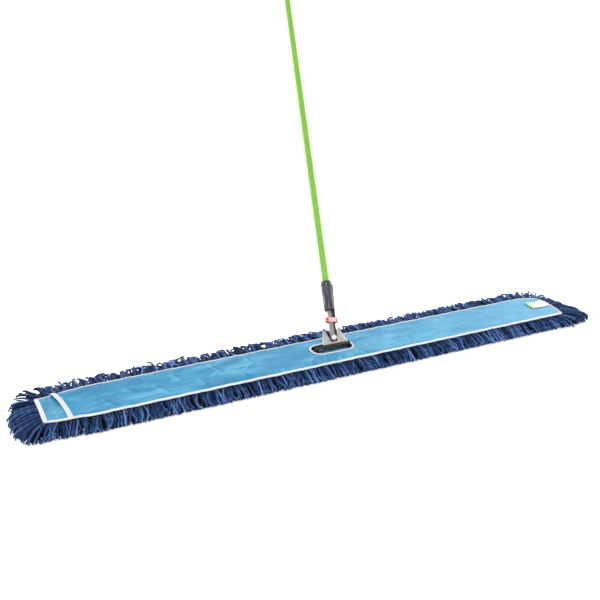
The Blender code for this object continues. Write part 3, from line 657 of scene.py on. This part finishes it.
def makeBaseCloth():
    def place(u, v):
        y = (2 * v - 1) * (headHalf - 0.0008)
        stop = endAt(y) - 0.0008
        x = -endX + 0.0008 + (stop + endX - 0.0008) * u
        y = y * halfAt(x) / headHalf
        inward = np.minimum(np.minimum(halfAt(x) - np.abs(y), endAt(y) - x), x + endX)
        rise = 0.0068 * (1 - smoothStep(inward, 0.0, 0.018))
        return x, y, baseZ + rise + 0.0004 * np.sin(x * 90.0) * np.cos(y * 60.0)
    piece = clothSheet("baseCloth", 220, 30, place, clothSettings["thickness"])
    return settle(piece, "baseCloth", looks["cloth"], "mop_head", ["base_cloth"])


def makeEndPanel():
    low, high = boxOf("end_panel")
    def place(u, v):
        x = low[0] + 0.001 + (high[0] - low[0] - 0.001) * u
        y = (2 * v - 1) * (halfAt(x) - 0.001)
        return x, y, high[2] - 0.0004 + 0.0006 * np.sin(x * 120.0 + y * 30.0) * np.cos(y * 22.0)
    piece = clothSheet("endPanel", 24, 36, place, 0.0008)
    return settle(piece, "endPanel", looks["cloth"], "mop_head", ["end_panel"])


topPanel, baseCloth, endPanel = makeTopPanel(), makeBaseCloth(), makeEndPanel()


def tapeAlong(name, path, outward, heights, section, replaced, closed=False):
    # a tape along path (steps, 2), set out by outward (steps, 2), at heights (steps), with a
    # section of (out, up) stations
    section = np.array(section)
    index, stations = np.arange(len(path)), np.arange(len(section))
    def place(u, v):
        at = lambda values: np.interp(u * index[-1], index, values)
        out = np.interp(v * stations[-1], stations, section[:, 0])
        up = np.interp(v * stations[-1], stations, section[:, 1])
        return (at(path[:, 0]) + at(outward[:, 0]) * out, at(path[:, 1]) + at(outward[:, 1]) * out,
                at(heights) + up)
    piece = clothSheet(name, len(path) - 1, (len(section) - 1) * 2, place, 0.0008, closed=closed)
    return settle(piece, name, looks["tape"], "mop_head", replaced)


def outwardOf(path):
    # the direction to the right of the path's run, at each of its points
    run = np.gradient(path, axis=0)
    run /= np.linalg.norm(run, axis=1, keepdims=True)
    return np.stack([run[:, 1], -run[:, 0]], axis=-1)


# sections of the folded tapes, from the free edge on top, round the outside, to the underside
edgeFold = [(-0.0043, 0.0008), (-0.0034, 0.0013), (-0.0020, 0.0015), (-0.0006, 0.0012),
            (0.0004, 0.0004), (0.0008, -0.0008), (0.0004, -0.0020), (-0.0008, -0.0027),
            (-0.0028, -0.0030), (-0.0050, -0.0032)]
# the two wide tapes share their underside; the mouth's has a sewn groove along it
underFold = [(-0.0004, 0.0010), (0.0006, 0.0000), (0.0004, -0.0012), (-0.0010, -0.0020),
             (-0.0030, -0.0022), (-0.0060, -0.0022)]
wideFold = [(-0.0090, 0.0004), (-0.0070, 0.0013), (-0.0045, 0.0014), (-0.0020, 0.0014)] + underFold
mouthFold = [(-0.0098, 0.0004), (-0.0080, 0.0014), (-0.0064, 0.0015), (-0.0054, -0.0004),
             (-0.0044, 0.0015), (-0.0024, 0.0015)] + underFold
seamRuns = []


def makeBindings():
    steps = 240
    edgeZ = clothZ - 0.0010

    def addTape(name, node, path, outward, heights, section, seam):
        # one tape with its flat width, and its seam at an inset and a height
        piece = tapeAlong(name, path, outward, heights, section, [node])
        seamRuns.append((path - outward * seam[0], heights + seam[1]))

    for name, side, node in (("bindingFront", -1, "binding_front"), ("bindingBack", 1, "binding_back")):
        x = np.linspace(-endX + 0.001, float(endAt(side * 0.0728)) + 0.001, steps)
        dip = 0.0016 * (1 - smoothStep(x, -0.715, -0.695))
        path = np.stack([x, side * (halfAt(x) - 0.0004)], axis=-1)
        outward = np.tile([0.0, float(side)], (steps, 1))
        heights = edgeZ - dip + 0.0004 * np.sin(x * 70.0 + side) + 0.0003 * np.sin(x * 173.0)
        addTape(name, node, path, outward, heights, edgeFold, (0.0040, 0.0014))
    y = np.linspace(-0.0728, 0.0728, 90)
    path = np.stack([endAt(y), y], axis=-1)
    for _ in range(6):
        path[1:-1] = (path[:-2] + 2 * path[1:-1] + path[2:]) / 4
    outward = outwardOf(path)
    heights = np.full(len(path), edgeZ + 0.0005)
    addTape("bindingRightEnd", "binding_right_end", path, outward, heights, edgeFold,
            (0.0040, 0.0014))
    inner = (path - outward * 0.0105)[6:40]      # a second seam near the label
    seamRuns.append((inner, panelZ(inner[:, 0], inner[:, 1]) + 0.0008))
    y = np.linspace(endHalf - 0.001, -endHalf + 0.001, 60)
    path = np.stack([np.full(60, -endX + 0.0006) - 0.0016 * (y > 0) * y / endHalf, y], axis=-1)
    heights = np.full(60, edgeZ - 0.0005)
    addTape("bindingLeftEnd", "binding_left_end", path, outwardOf(path), heights, wideFold,
            (0.0072, 0.0015))
    y = np.linspace(headHalf - 0.007, -headHalf + 0.008, 80)
    path = np.stack([mouthAt(y) - 0.0006, y], axis=-1)
    gape = 0.0040 * smoothStep(y, -0.05, 0.04) * (1 - smoothStep(y, 0.05, 0.073))
    heights = panelZ(path[:, 0] + 0.002, y) + gape
    addTape("pocketBinding", "pocket_binding", path, outwardOf(path), heights, mouthFold,
            (0.0076, 0.0016))


def makeSlotPiping():
    # a rolled hem round the slot, closed on itself
    straight = slotHalf - slotCorner
    turn = np.linspace(0, 2 * math.pi, 161)
    c, d = np.cos(turn), np.sin(turn)
    corner = np.stack([np.sign(c) * straight[0] + slotCorner * c,
                       np.sign(d) * straight[1] + slotCorner * d], axis=-1)
    fine = lengthsAlong(corner)
    even = np.linspace(0, fine[-1], 201)
    path = np.stack([np.interp(even, fine, corner[:, i]) for i in (0, 1)], axis=-1) + slotCentre
    away = np.stack(slotAway(path[:, 0], path[:, 1]), axis=-1)
    heights = clothZ + 0.0003 + 0.0003 * np.sin(even * 160.0)
    roll = [(0.0042, 0.0006), (0.0032, 0.0012), (0.0020, 0.0020), (0.0008, 0.0020), (-0.0004, 0.0012),
            (-0.0008, 0.0002), (-0.0004, -0.0008), (0.0008, -0.0013), (0.0030, -0.0014)]
    heights[-1] = heights[0]
    piece = tapeAlong("slotPiping", path, away, heights, roll, ["slot_binding"], True)
    seamRuns.append((path + away * 0.0034, heights + 0.0014))


def makeLabel():
    # a satin label sewn on at its right, whose left edge curls up
    wide, deep = labelHigh[0] - labelLow[0], labelHigh[1] - labelLow[1]
    def place(u, v):
        x = labelLow[0] + 0.0005 + (wide + 0.001) * u + 0.002 * v
        y = labelLow[1] + deep * v - 0.0025 * u * (1 - v)
        lift = 0.0028 * (1 - smoothStep(u, 0.0, 0.35)) * (0.4 + 0.6 * v)
        lift = lift + 0.0007 * np.sin(v * 9.0 + u * 3.0)
        return x, y, panelZ(x, y) + 0.0013 + lift + 0.0012 * np.sin(u * 5.0) ** 2
    piece = clothSheet("careLabel", 44, 28, place, 0.0005)
    settle(piece, "careLabel", looks["label"], "mop_head", ["care_label"])


stitchSettings = {"length": 0.0030, "pitch": 0.0044, "radius": 0.00035}


def makeStitches():
    # lockstitch along every tape, and the seam across the end panel
    across = np.linspace(0.058, -0.059, 60)
    seamX = np.full(60, -0.7292) - 0.001 * (across > 0)
    endTop = boxOf("end_panel")[1][2]
    seamRuns.append((np.stack([seamX, across], axis=-1), np.full(60, endTop + 0.0012)))
    paths, arounds = [], []
    for path, heights in seamRuns:
        lengths = lengthsAlong(path)
        starts = np.arange(0.002, lengths[-1] - 0.004, stitchSettings["pitch"])
        stations = starts[:, None] + np.linspace(0, stitchSettings["length"], 4)
        at = lambda values: np.interp(stations, lengths, values)
        arch = np.array([-0.0003, 0.0003, 0.0003, -0.0003])
        strand = np.stack([at(path[:, 0]), at(path[:, 1]), at(heights) + arch], axis=-1)
        run = strand[:, -1] - strand[:, 0]
        paths.append(strand)
        arounds.append(np.stack([-run[:, 1], run[:, 0], np.zeros(len(run))], axis=-1))
    paths = np.concatenate(paths)
    arounds = np.concatenate(arounds)
    arounds /= np.linalg.norm(arounds, axis=1, keepdims=True)
    radii = np.full(paths.shape[:2], stitchSettings["radius"])
    piece = yarnPiece("tapeStitches", paths, arounds, radii, np.ones(paths.shape[:2]), 4)
    settle(piece, "tapeStitches", looks["thread"], "mop_head", [])


makeBindings()
makeSlotPiping()
makeLabel()
makeStitches()


joints = {joint["name"]: joint for joint in frame["record"]["behaviour"]["joints"]}


def frameOf(joint, up, across):
    # a part's own frame: its origin on the joint, its z along up and its y along across
    z, y = Vector(up).normalized(), Vector(across).normalized()
    x = y.cross(z).normalized()
    turned = Matrix((x, y, z)).transposed().to_4x4()
    turned.translation = Vector(joints[joint]["pos_m"])
    return turned


handleUp = joints["handle_swivel"]["axis"]
backwards = joints["stem_swing"]["axis"]
stemFrame = frameOf("stem_swing", handleUp, backwards)
handleFrame = frameOf("handle_swivel", handleUp, backwards)
# the handle's axis runs just in front of the pivot's
handleFrame.translation = stemFrame @ Vector((0, -0.0008, 0))


def spanAlong(node, axisFrame):
    # a node's lowest and highest place along the part's own z, and its widest radius about it
    inverse = axisFrame.inverted()
    points = [inverse @ vertex.co for vertex in nodes[node].data.vertices]
    return min(p.z for p in points), max(p.z for p in points), max(math.hypot(p.x, p.y) for p in points)


def inPlace(piece, turned):
    # put a piece that was modelled at the origin where it belongs, and keep that in its mesh
    makeActive(piece)
    piece.matrix_world = turned @ piece.matrix_world
    bpy.ops.object.transform_apply(location=True, rotation=True, scale=True)


def selectIn(piece, chosen, kind="FACE"):
    # choose faces, edges or points in edit mode by a test on their middle and, for faces, normal
    bpy.ops.mesh.select_mode(type=kind)
    bpy.ops.mesh.select_all(action="DESELECT")
    bpy.ops.object.mode_set(mode="OBJECT")
    mesh = piece.data
    if kind == "FACE":
        for face in mesh.polygons:
            face.select = chosen(face.center, face.normal)
    elif kind == "EDGE":
        for edge in mesh.edges:
            ends = [mesh.vertices[index].co for index in edge.vertices]
            edge.select = chosen((ends[0] + ends[1]) / 2, ends[1] - ends[0])
    else:
        for vertex in mesh.vertices:
            vertex.select = chosen(vertex.co, vertex.normal)
    bpy.ops.object.mode_set(mode="EDIT")


def turnOutward():
    # every face points outwards, and edit mode ends
    bpy.ops.mesh.select_all(action="SELECT")
    bpy.ops.mesh.normals_make_consistent(inside=False)
    bpy.ops.object.mode_set(mode="OBJECT")


def roundEdges(piece, width, segments, degrees):
    bevel = piece.modifiers.new("edges", "BEVEL")
    bevel.width, bevel.segments = width, segments
    bevel.limit_method, bevel.angle_limit = "ANGLE", math.radians(degrees)
    applyAll(piece)


def raised(sides, stations):
    # a turned part: a disc drawn up, in and out through (radius, height) stations along z
    bpy.ops.object.select_all(action="DESELECT")
    radius, height = stations[0]
    bpy.ops.mesh.primitive_circle_add(vertices=sides, radius=radius, fill_type="NGON",
                                      location=(0, 0, height))
    piece = bpy.context.object
    bpy.ops.object.transform_apply(location=True, rotation=True, scale=True)
    bpy.ops.object.mode_set(mode="EDIT")
    bpy.ops.mesh.select_all(action="SELECT")
    for nextRadius, nextHeight in stations[1:]:
        bpy.ops.mesh.extrude_region_move(TRANSFORM_OT_translate={"value": (0, 0, nextHeight - height)})
        share = nextRadius / radius
        bpy.ops.transform.resize(value=(share, share, 1), center_override=(0, 0, nextHeight))
        radius, height = nextRadius, nextHeight
    turnOutward()
    return piece


def openBore(piece, chosen):
    # the two end faces on the axis are joined into the wall of a bore
    selectIn(piece, lambda c, n: abs(n.z) > 0.9 and math.hypot(c.x, c.y) < 0.0005 and chosen(c))
    bpy.ops.mesh.bridge_edge_loops()


def smoothed(piece, degrees=35):
    makeActive(piece)
    bpy.ops.object.shade_smooth_by_angle(angle=math.radians(degrees))


def softened(node, width, segments=2):
    # a copy of a CAD node with its corners joined up and its edges rounded
    piece = nodes[node].copy()
    piece.data = nodes[node].data.copy()
    scene.collection.objects.link(piece)
    makeActive(piece)
    bpy.ops.object.mode_set(mode="EDIT")
    bpy.ops.mesh.select_all(action="SELECT")
    bpy.ops.mesh.remove_doubles(threshold=0.00002)
    bpy.ops.mesh.dissolve_limited(angle_limit=math.radians(2))
    bpy.ops.object.mode_set(mode="OBJECT")
    roundEdges(piece, width, segments, 38)
    smoothed(piece)
    return piece


# rounding of the edges, finish, slot, body and name of each metal or plastic piece
edgeRounding = {
    "bracket_front_plate": (0.0005, "plate", "pressed_steel", "bracket", "frontPlate"),
    "bracket_back_plate": (0.0005, "black", "black_steel", "bracket", "backPlate"),
    "cross_bar_left": (0.0007, "black", "black_steel", "mop_head", "crossBarLeft"),
    "cross_bar_right": (0.0007, "black", "black_steel", "mop_head", "crossBarRight"),
    "hinge_bar": (0.0008, "black", "black_steel", "mop_head", "hingeBar"),
    "tie_bar": (0.0006, "black", "black_steel", "mop_head", "tieBar"),
    "plate_rivet_left": (0.0002, "bright", "zinc_steel", "bracket", "plateRivetLeft"),
    "plate_rivet_right": (0.0002, "bright", "zinc_steel", "bracket", "plateRivetRight"),
    "shank_nut": (0.0005, "bright", "zinc_steel", "stem", "shankNut"),
    "shank_washer": (0.0002, "bright", "zinc_steel", "stem", "shankWasher"),
    "pivot_washer": (0.0002, "black", "black_steel", "bracket", "pivotWasher"),
    "bar_clamp_front_left": (0.0004, "black", "black_steel", "mop_head", "clampFrontLeft"),
    "bar_clamp_front_right": (0.0004, "black", "black_steel", "mop_head", "clampFrontRight"),
    "bar_clamp_back_left": (0.0004, "black", "black_steel", "mop_head", "clampBackLeft"),
    "bar_clamp_back_right": (0.0004, "black", "black_steel", "mop_head", "clampBackRight"),
    "socket_rivet": (0.0002, "bright", "zinc_steel", "handle", "socketRivet"),
    "end_cap": (0.0007, "charcoal", "charcoal_plastic", "handle", "endCap"),
}


def makeSoftened():
    for node, (width, lookName, slotName, body, name) in edgeRounding.items():
        piece = softened(node, width)
        settle(piece, name, looks[lookName], body, [node])


socketSettings = {
    "foot": 0.0212,                                         # its height over the prong's tip
    "body": 0.0150, "collar": 0.0158, "bore": 0.0131,      # radii
    "groove": 0.0005, "grooveWidth": 0.0004, "prongTip": 0.45, "rounding": 0.00025,
}


def makeSocket():
    low, high, _ = spanAlong("handle_socket", handleFrame)
    tubeLow, _, _ = spanAlong("handle_tube", handleFrame)
    foot = low + socketSettings["foot"]
    body, collar, bore = socketSettings["body"], socketSettings["collar"], socketSettings["bore"]
    # up the outside from the foot, over the collar and down the bore
    stations = [(0.0050, foot), (body - 0.0030, foot), (body - 0.0010, foot + 0.0010),
                (body, foot + 0.0030), (body, foot + 0.0400), (body - 0.0004, foot + 0.0408),
                (body - 0.0004, foot + 0.0424), (body, foot + 0.0432), (body, high - 0.0125),
                (collar - 0.0003, high - 0.0112), (collar, high - 0.0100), (collar, high - 0.0020),
                (collar - 0.0003, high - 0.0006), (collar - 0.0010, high), (bore, high - 0.0006),
                (bore, high - 0.0020), (bore, tubeLow - 0.0010), (0.0104, tubeLow - 0.0012),
                (0.0104, foot + 0.0330), (0.0045, foot + 0.0328), (0.0045, foot + 0.0004)]
    piece = raised(48, stations)
    bpy.ops.object.mode_set(mode="EDIT")
    openBore(piece, lambda c: c.z < foot + 0.002)
    # flutes down the grip, pressed in between its ends
    inGrip = lambda c: foot + 0.0035 < c.z < foot + 0.0395 or foot + 0.0437 < c.z < high - 0.0130
    selectIn(piece, lambda c, n: inGrip(c) and math.hypot(c.x, c.y) > body - 0.0006 and abs(n.z) < 0.3
             and int(round(math.degrees(math.atan2(c.y, c.x)) / 7.5 - 0.5)) % 3 == 0)
    bpy.ops.mesh.inset(thickness=socketSettings["grooveWidth"], depth=-socketSettings["groove"],
                       use_individual=True)
    # the prong: faces on the right of the foot are drawn down beside the stem
    selectIn(piece, lambda c, n: n.z < -0.5 and body - 0.0032 < math.hypot(c.x, c.y) < body
             and abs(math.degrees(math.atan2(c.y, c.x))) < 34)
    bpy.ops.mesh.extrude_region_move(TRANSFORM_OT_translate={"value": (0, 0, low - foot + 0.0008)})
    bpy.ops.transform.resize(value=(1.0, socketSettings["prongTip"], 0.05),
                             center_override=(body - 0.0015, 0, low + 0.0010))
    turnOutward()
    roundEdges(piece, socketSettings["rounding"], 2, 40)
    inPlace(piece, handleFrame)
    smoothed(piece)
    settle(piece, "gripSocket", looks["charcoal"], "handle", ["handle_socket"])


def makeTube():
    # the painted tube, with its ends turned over a little
    low, high, radius = spanAlong("handle_tube", handleFrame)
    stations = [(radius - 0.0012, low), (radius - 0.0003, low), (radius, low + 0.0004),
                (radius, high - 0.0004), (radius - 0.0003, high), (radius - 0.0012, high)]
    piece = raised(64, stations)
    bpy.ops.object.mode_set(mode="EDIT")
    openBore(piece, lambda c: True)
    turnOutward()
    inPlace(piece, handleFrame)
    smoothed(piece)
    settle(piece, "handleTube", looks["lime"], "handle", ["handle_tube"])


stemSettings = {"width": 0.0180, "front": -0.0068, "back": 0.0008, "step": 0.0012, "stepX": 0.0030,
                "wall": 0.0018, "corner": 0.30}


def makeStem():
    # a pressed channel: a round-footed web with its flanges turned back, and its right side set
    # back; the right side and the inside of the channel take the black finish as painted shadow
    _, top, _ = spanAlong("stem_channel", stemFrame)
    half = stemSettings["width"] / 2
    webY = stemSettings["front"] + stemSettings["step"]
    bpy.ops.object.select_all(action="DESELECT")
    bpy.ops.mesh.primitive_circle_add(vertices=40, radius=half, fill_type="NGON", location=(0, webY, 0),
                                      rotation=(math.pi / 2, 0, 0))
    piece = bpy.context.object
    bpy.ops.object.transform_apply(location=True, rotation=True, scale=True)
    bpy.ops.object.mode_set(mode="EDIT")
    # the upper half of the disc becomes a low crown
    crown = top - half * stemSettings["corner"]
    selectIn(piece, lambda c, n: c.z > 0.0001, "VERT")
    bpy.ops.transform.translate(value=(0, 0, crown))
    bpy.ops.transform.resize(value=(1.0, 1.0, stemSettings["corner"]), center_override=(0, 0, crown))
    bpy.ops.mesh.select_mode(type="FACE")
    bpy.ops.mesh.select_all(action="SELECT")
    bpy.ops.mesh.extrude_region_move(TRANSFORM_OT_translate={"value": (0, stemSettings["back"] - webY, 0)})
    bpy.ops.mesh.inset(thickness=stemSettings["wall"], depth=0)
    bpy.ops.mesh.extrude_region_move(TRANSFORM_OT_translate={"value": (0, -0.0058, 0)})
    bpy.ops.mesh.select_all(action="SELECT")
    bpy.ops.mesh.bisect(plane_co=(stemSettings["stepX"], 0, 0), plane_no=(1, 0, 0))
    bpy.ops.mesh.select_all(action="SELECT")
    bpy.ops.mesh.normals_make_consistent(inside=False)
    selectIn(piece, lambda c, n: n.y < -0.9 and c.y < webY + 0.0002 and c.x < stemSettings["stepX"])
    bpy.ops.mesh.extrude_region_move(TRANSFORM_OT_translate={"value": (0, -stemSettings["step"], 0)})
    # round the outer edge of the web, where the press folded it
    selectIn(piece, lambda c, way: c.y < stemSettings["front"] + 0.0001, "EDGE")
    bpy.ops.mesh.bevel(offset=0.0008, segments=3, affect="EDGES")
    bpy.ops.object.mode_set(mode="OBJECT")
    piece.data.materials.append(looks["stem"])
    piece.data.materials.append(looks["black"])
    # painted shadow: the inside of the channel and its right side take the black finish
    for face in piece.data.polygons:
        c = face.center
        inside = c.y > -0.0052 and abs(c.x) < half - 0.0010 and -half + 0.0010 < c.z < top - 0.0010
        face.material_index = int(c.x > stemSettings["stepX"] - 0.0001 or inside)
    inPlace(piece, stemFrame)
    smoothed(piece)
    settle(piece, "stemChannel", None, "stem", ["stem_channel", "shank_rivet"])


def makePin():
    # a domed head on the pivot, with a turned shoulder
    pinFrame = stemFrame @ Matrix.Rotation(math.pi / 2, 4, "X")
    _, high, _ = spanAlong("pivot_pin", pinFrame)
    stations = [(0.0030, -0.0020), (0.0035, -0.0014), (0.0035, 0.0070), (0.0064, 0.0070),
                (0.0067, 0.0074), (0.0065, 0.0081), (0.0058, 0.0088), (0.0044, high - 0.0003),
                (0.0024, high), (0.0008, high + 0.0001)]
    piece = raised(32, stations)
    inPlace(piece, pinFrame)
    smoothed(piece)
    settle(piece, "pivotPin", looks["pin"], "bracket", ["pivot_pin"])


ringSettings = {"height": 0.0500, "highlightHalf": 0.0128, "red": (226, 52, 50), "highlightPink": (252, 186, 178)}


def ringLook():
    # red plastic with a painted highlight: a pale band across the broad faces between its grips
    look = Look("redPlastic", Coat_Weight=0.6, Coat_Roughness=0.12)
    x, y, z = look.axes()
    axis, centre = stemFrame.col[0], stemFrame @ Vector((0, 0, ringSettings["height"]))
    along = x * axis.x + y * axis.y + z * axis.z - centre.dot(axis.to_3d())
    cloudy = look.noise(90.0, 2.0, 0.6)
    # painted highlight: a pale band across the middle of the ring
    paintedHighlight = ((abs(along) + cloudy * 0.003) < ringSettings["highlightHalf"]) * 0.95
    look.feed("Base Color", look.mix(paintedHighlight, colour(*ringSettings["red"]), colour(*ringSettings["highlightPink"])))
    look.feed("Roughness", cloudy * 0.16 + 0.16)
    look.bump(look.noise(500.0, 2.0), 0.2, 0.0001)
    return look.material


def makeRing():
    # the lock ring with well-rounded edges
    piece = softened("lock_ring", 0.0008, 3)
    settle(piece, "lockRing", ringLook(), "lock_ring", ["lock_ring"])


makeSoftened()
makeSocket()
makeTube()
makeStem()
makePin()
makeRing()


# the CAD pieces that stay: bright zinc, or black where nothing is said
brightNodes = {"stem_shank", "frame_wire_left", "frame_wire_right", "frame_crimp_front", "frame_crimp_back"}
for name, node in nodes.items():
    node.data.materials.clear()
    node.data.materials.append(looks["bright" if name in brightNodes else "black"])
print("finishes set on the CAD pieces")


studio = {
    "world": 0.50, "key": 44.0, "fill": 8.0, "rim": 14.0,
    "strip": 24.0, "stripSize": (0.62, 1.8), "stripAway": 2.0,
    "floorSize": 90.0, "floorGlow": 0.48, "backdrop": 20.0,
}
view = {
    "place": (-0.9446, -1.7235, 0.9789), "lens": 48.47, "sensor": 36.0,
    "right": (0.89786, -0.44022, 0.00757),
    "up": (0.15936, 0.34095, 0.92647),
    "ahead": (0.41043, 0.83064, -0.37628),
}


def addCamera():
    bpy.ops.object.camera_add(location=view["place"])
    camera = bpy.context.object
    camera.name = "studioCamera"
    turned = Matrix((Vector(view["right"]), Vector(view["up"]), -Vector(view["ahead"]))).transposed()
    camera.rotation_euler = turned.to_euler()
    camera.data.lens = view["lens"]
    camera.data.sensor_width = view["sensor"]
    scene.camera = camera


def addFloor():
    bpy.ops.object.select_all(action="DESELECT")
    bpy.ops.mesh.primitive_plane_add(size=studio["floorSize"], location=(0, 0, -0.0004))
    floor = bpy.context.object
    floor.name = "studioFloor"
    # the paper turns up far away, so that no horizon shows
    bpy.ops.object.mode_set(mode="EDIT")
    bpy.ops.mesh.select_mode(type="EDGE")
    bpy.ops.mesh.select_all(action="SELECT")
    bpy.ops.mesh.extrude_edges_move(TRANSFORM_OT_translate={"value": (0, 0, studio["backdrop"])})
    bpy.ops.object.mode_set(mode="OBJECT")
    look = Look("palePaper", Roughness=0.9, Specular_IOR_Level=0.1, Emission_Color=(1, 1, 1, 1),
                Emission_Strength=studio["floorGlow"])
    paper = look.noise(3.0, 2.0)
    look.feed("Base Color", look.mix(paper * 0.3, (0.90, 0.90, 0.90, 1), (0.88, 0.88, 0.885, 1)))
    floor.data.materials.append(look.material)


def areaLight(name, place, power, size):
    bpy.ops.object.light_add(type="AREA", location=place)
    light = bpy.context.object
    light.name = name
    light.data.energy = power
    light.data.size = size
    return light


def addLight(name, place, target, power, size):
    light = areaLight(name, place, power, size)
    light.rotation_euler = (Vector(target) - Vector(place)).to_track_quat("-Z", "Y").to_euler()


def addStrip(name, turn):
    # a long soft light beside the handle that the camera sees along it, turned round it from
    # the camera's side by these degrees
    up = Vector(handleUp)
    middle = handleFrame.translation + up * 0.55
    seen = (Vector(view["place"]) - middle).normalized()
    lengthwise = seen.dot(up)
    facing = (seen - up * lengthwise).normalized()
    sideways = facing * math.cos(math.radians(turn)) + up.cross(facing) * math.sin(math.radians(turn))
    away = sideways * math.sqrt(1 - lengthwise ** 2) - up * lengthwise
    light = areaLight(name, middle + away * studio["stripAway"], studio["strip"], studio["stripSize"][0])
    light.data.shape = "RECTANGLE"
    light.data.size_y = studio["stripSize"][1]
    along = (up - away * up.dot(away)).normalized()
    light.rotation_euler = Matrix((along.cross(away), along, away)).transposed().to_euler()


addCamera()
addFloor()
addLight("keyLight", (-1.2, -1.8, 2.6), (0, 0, 0.1), studio["key"], 1.6)
addLight("fillLight", (2.2, -1.6, 1.8), (0, 0, 0.1), studio["fill"], 2.0)
addLight("rimLight", (0.6, 2.6, 2.2), (0, 0, 0.2), studio["rim"], 1.6)
addStrip("stripLeft", -96)
addStrip("stripRight", 108)
world = bpy.data.worlds.new("paleStudio")
world.use_nodes = True
background = world.node_tree.nodes["Background"]
background.inputs["Color"].default_value = (1.0, 1.0, 1.0, 1.0)
background.inputs["Strength"].default_value = studio["world"]
scene.world = world
print("studio ready")
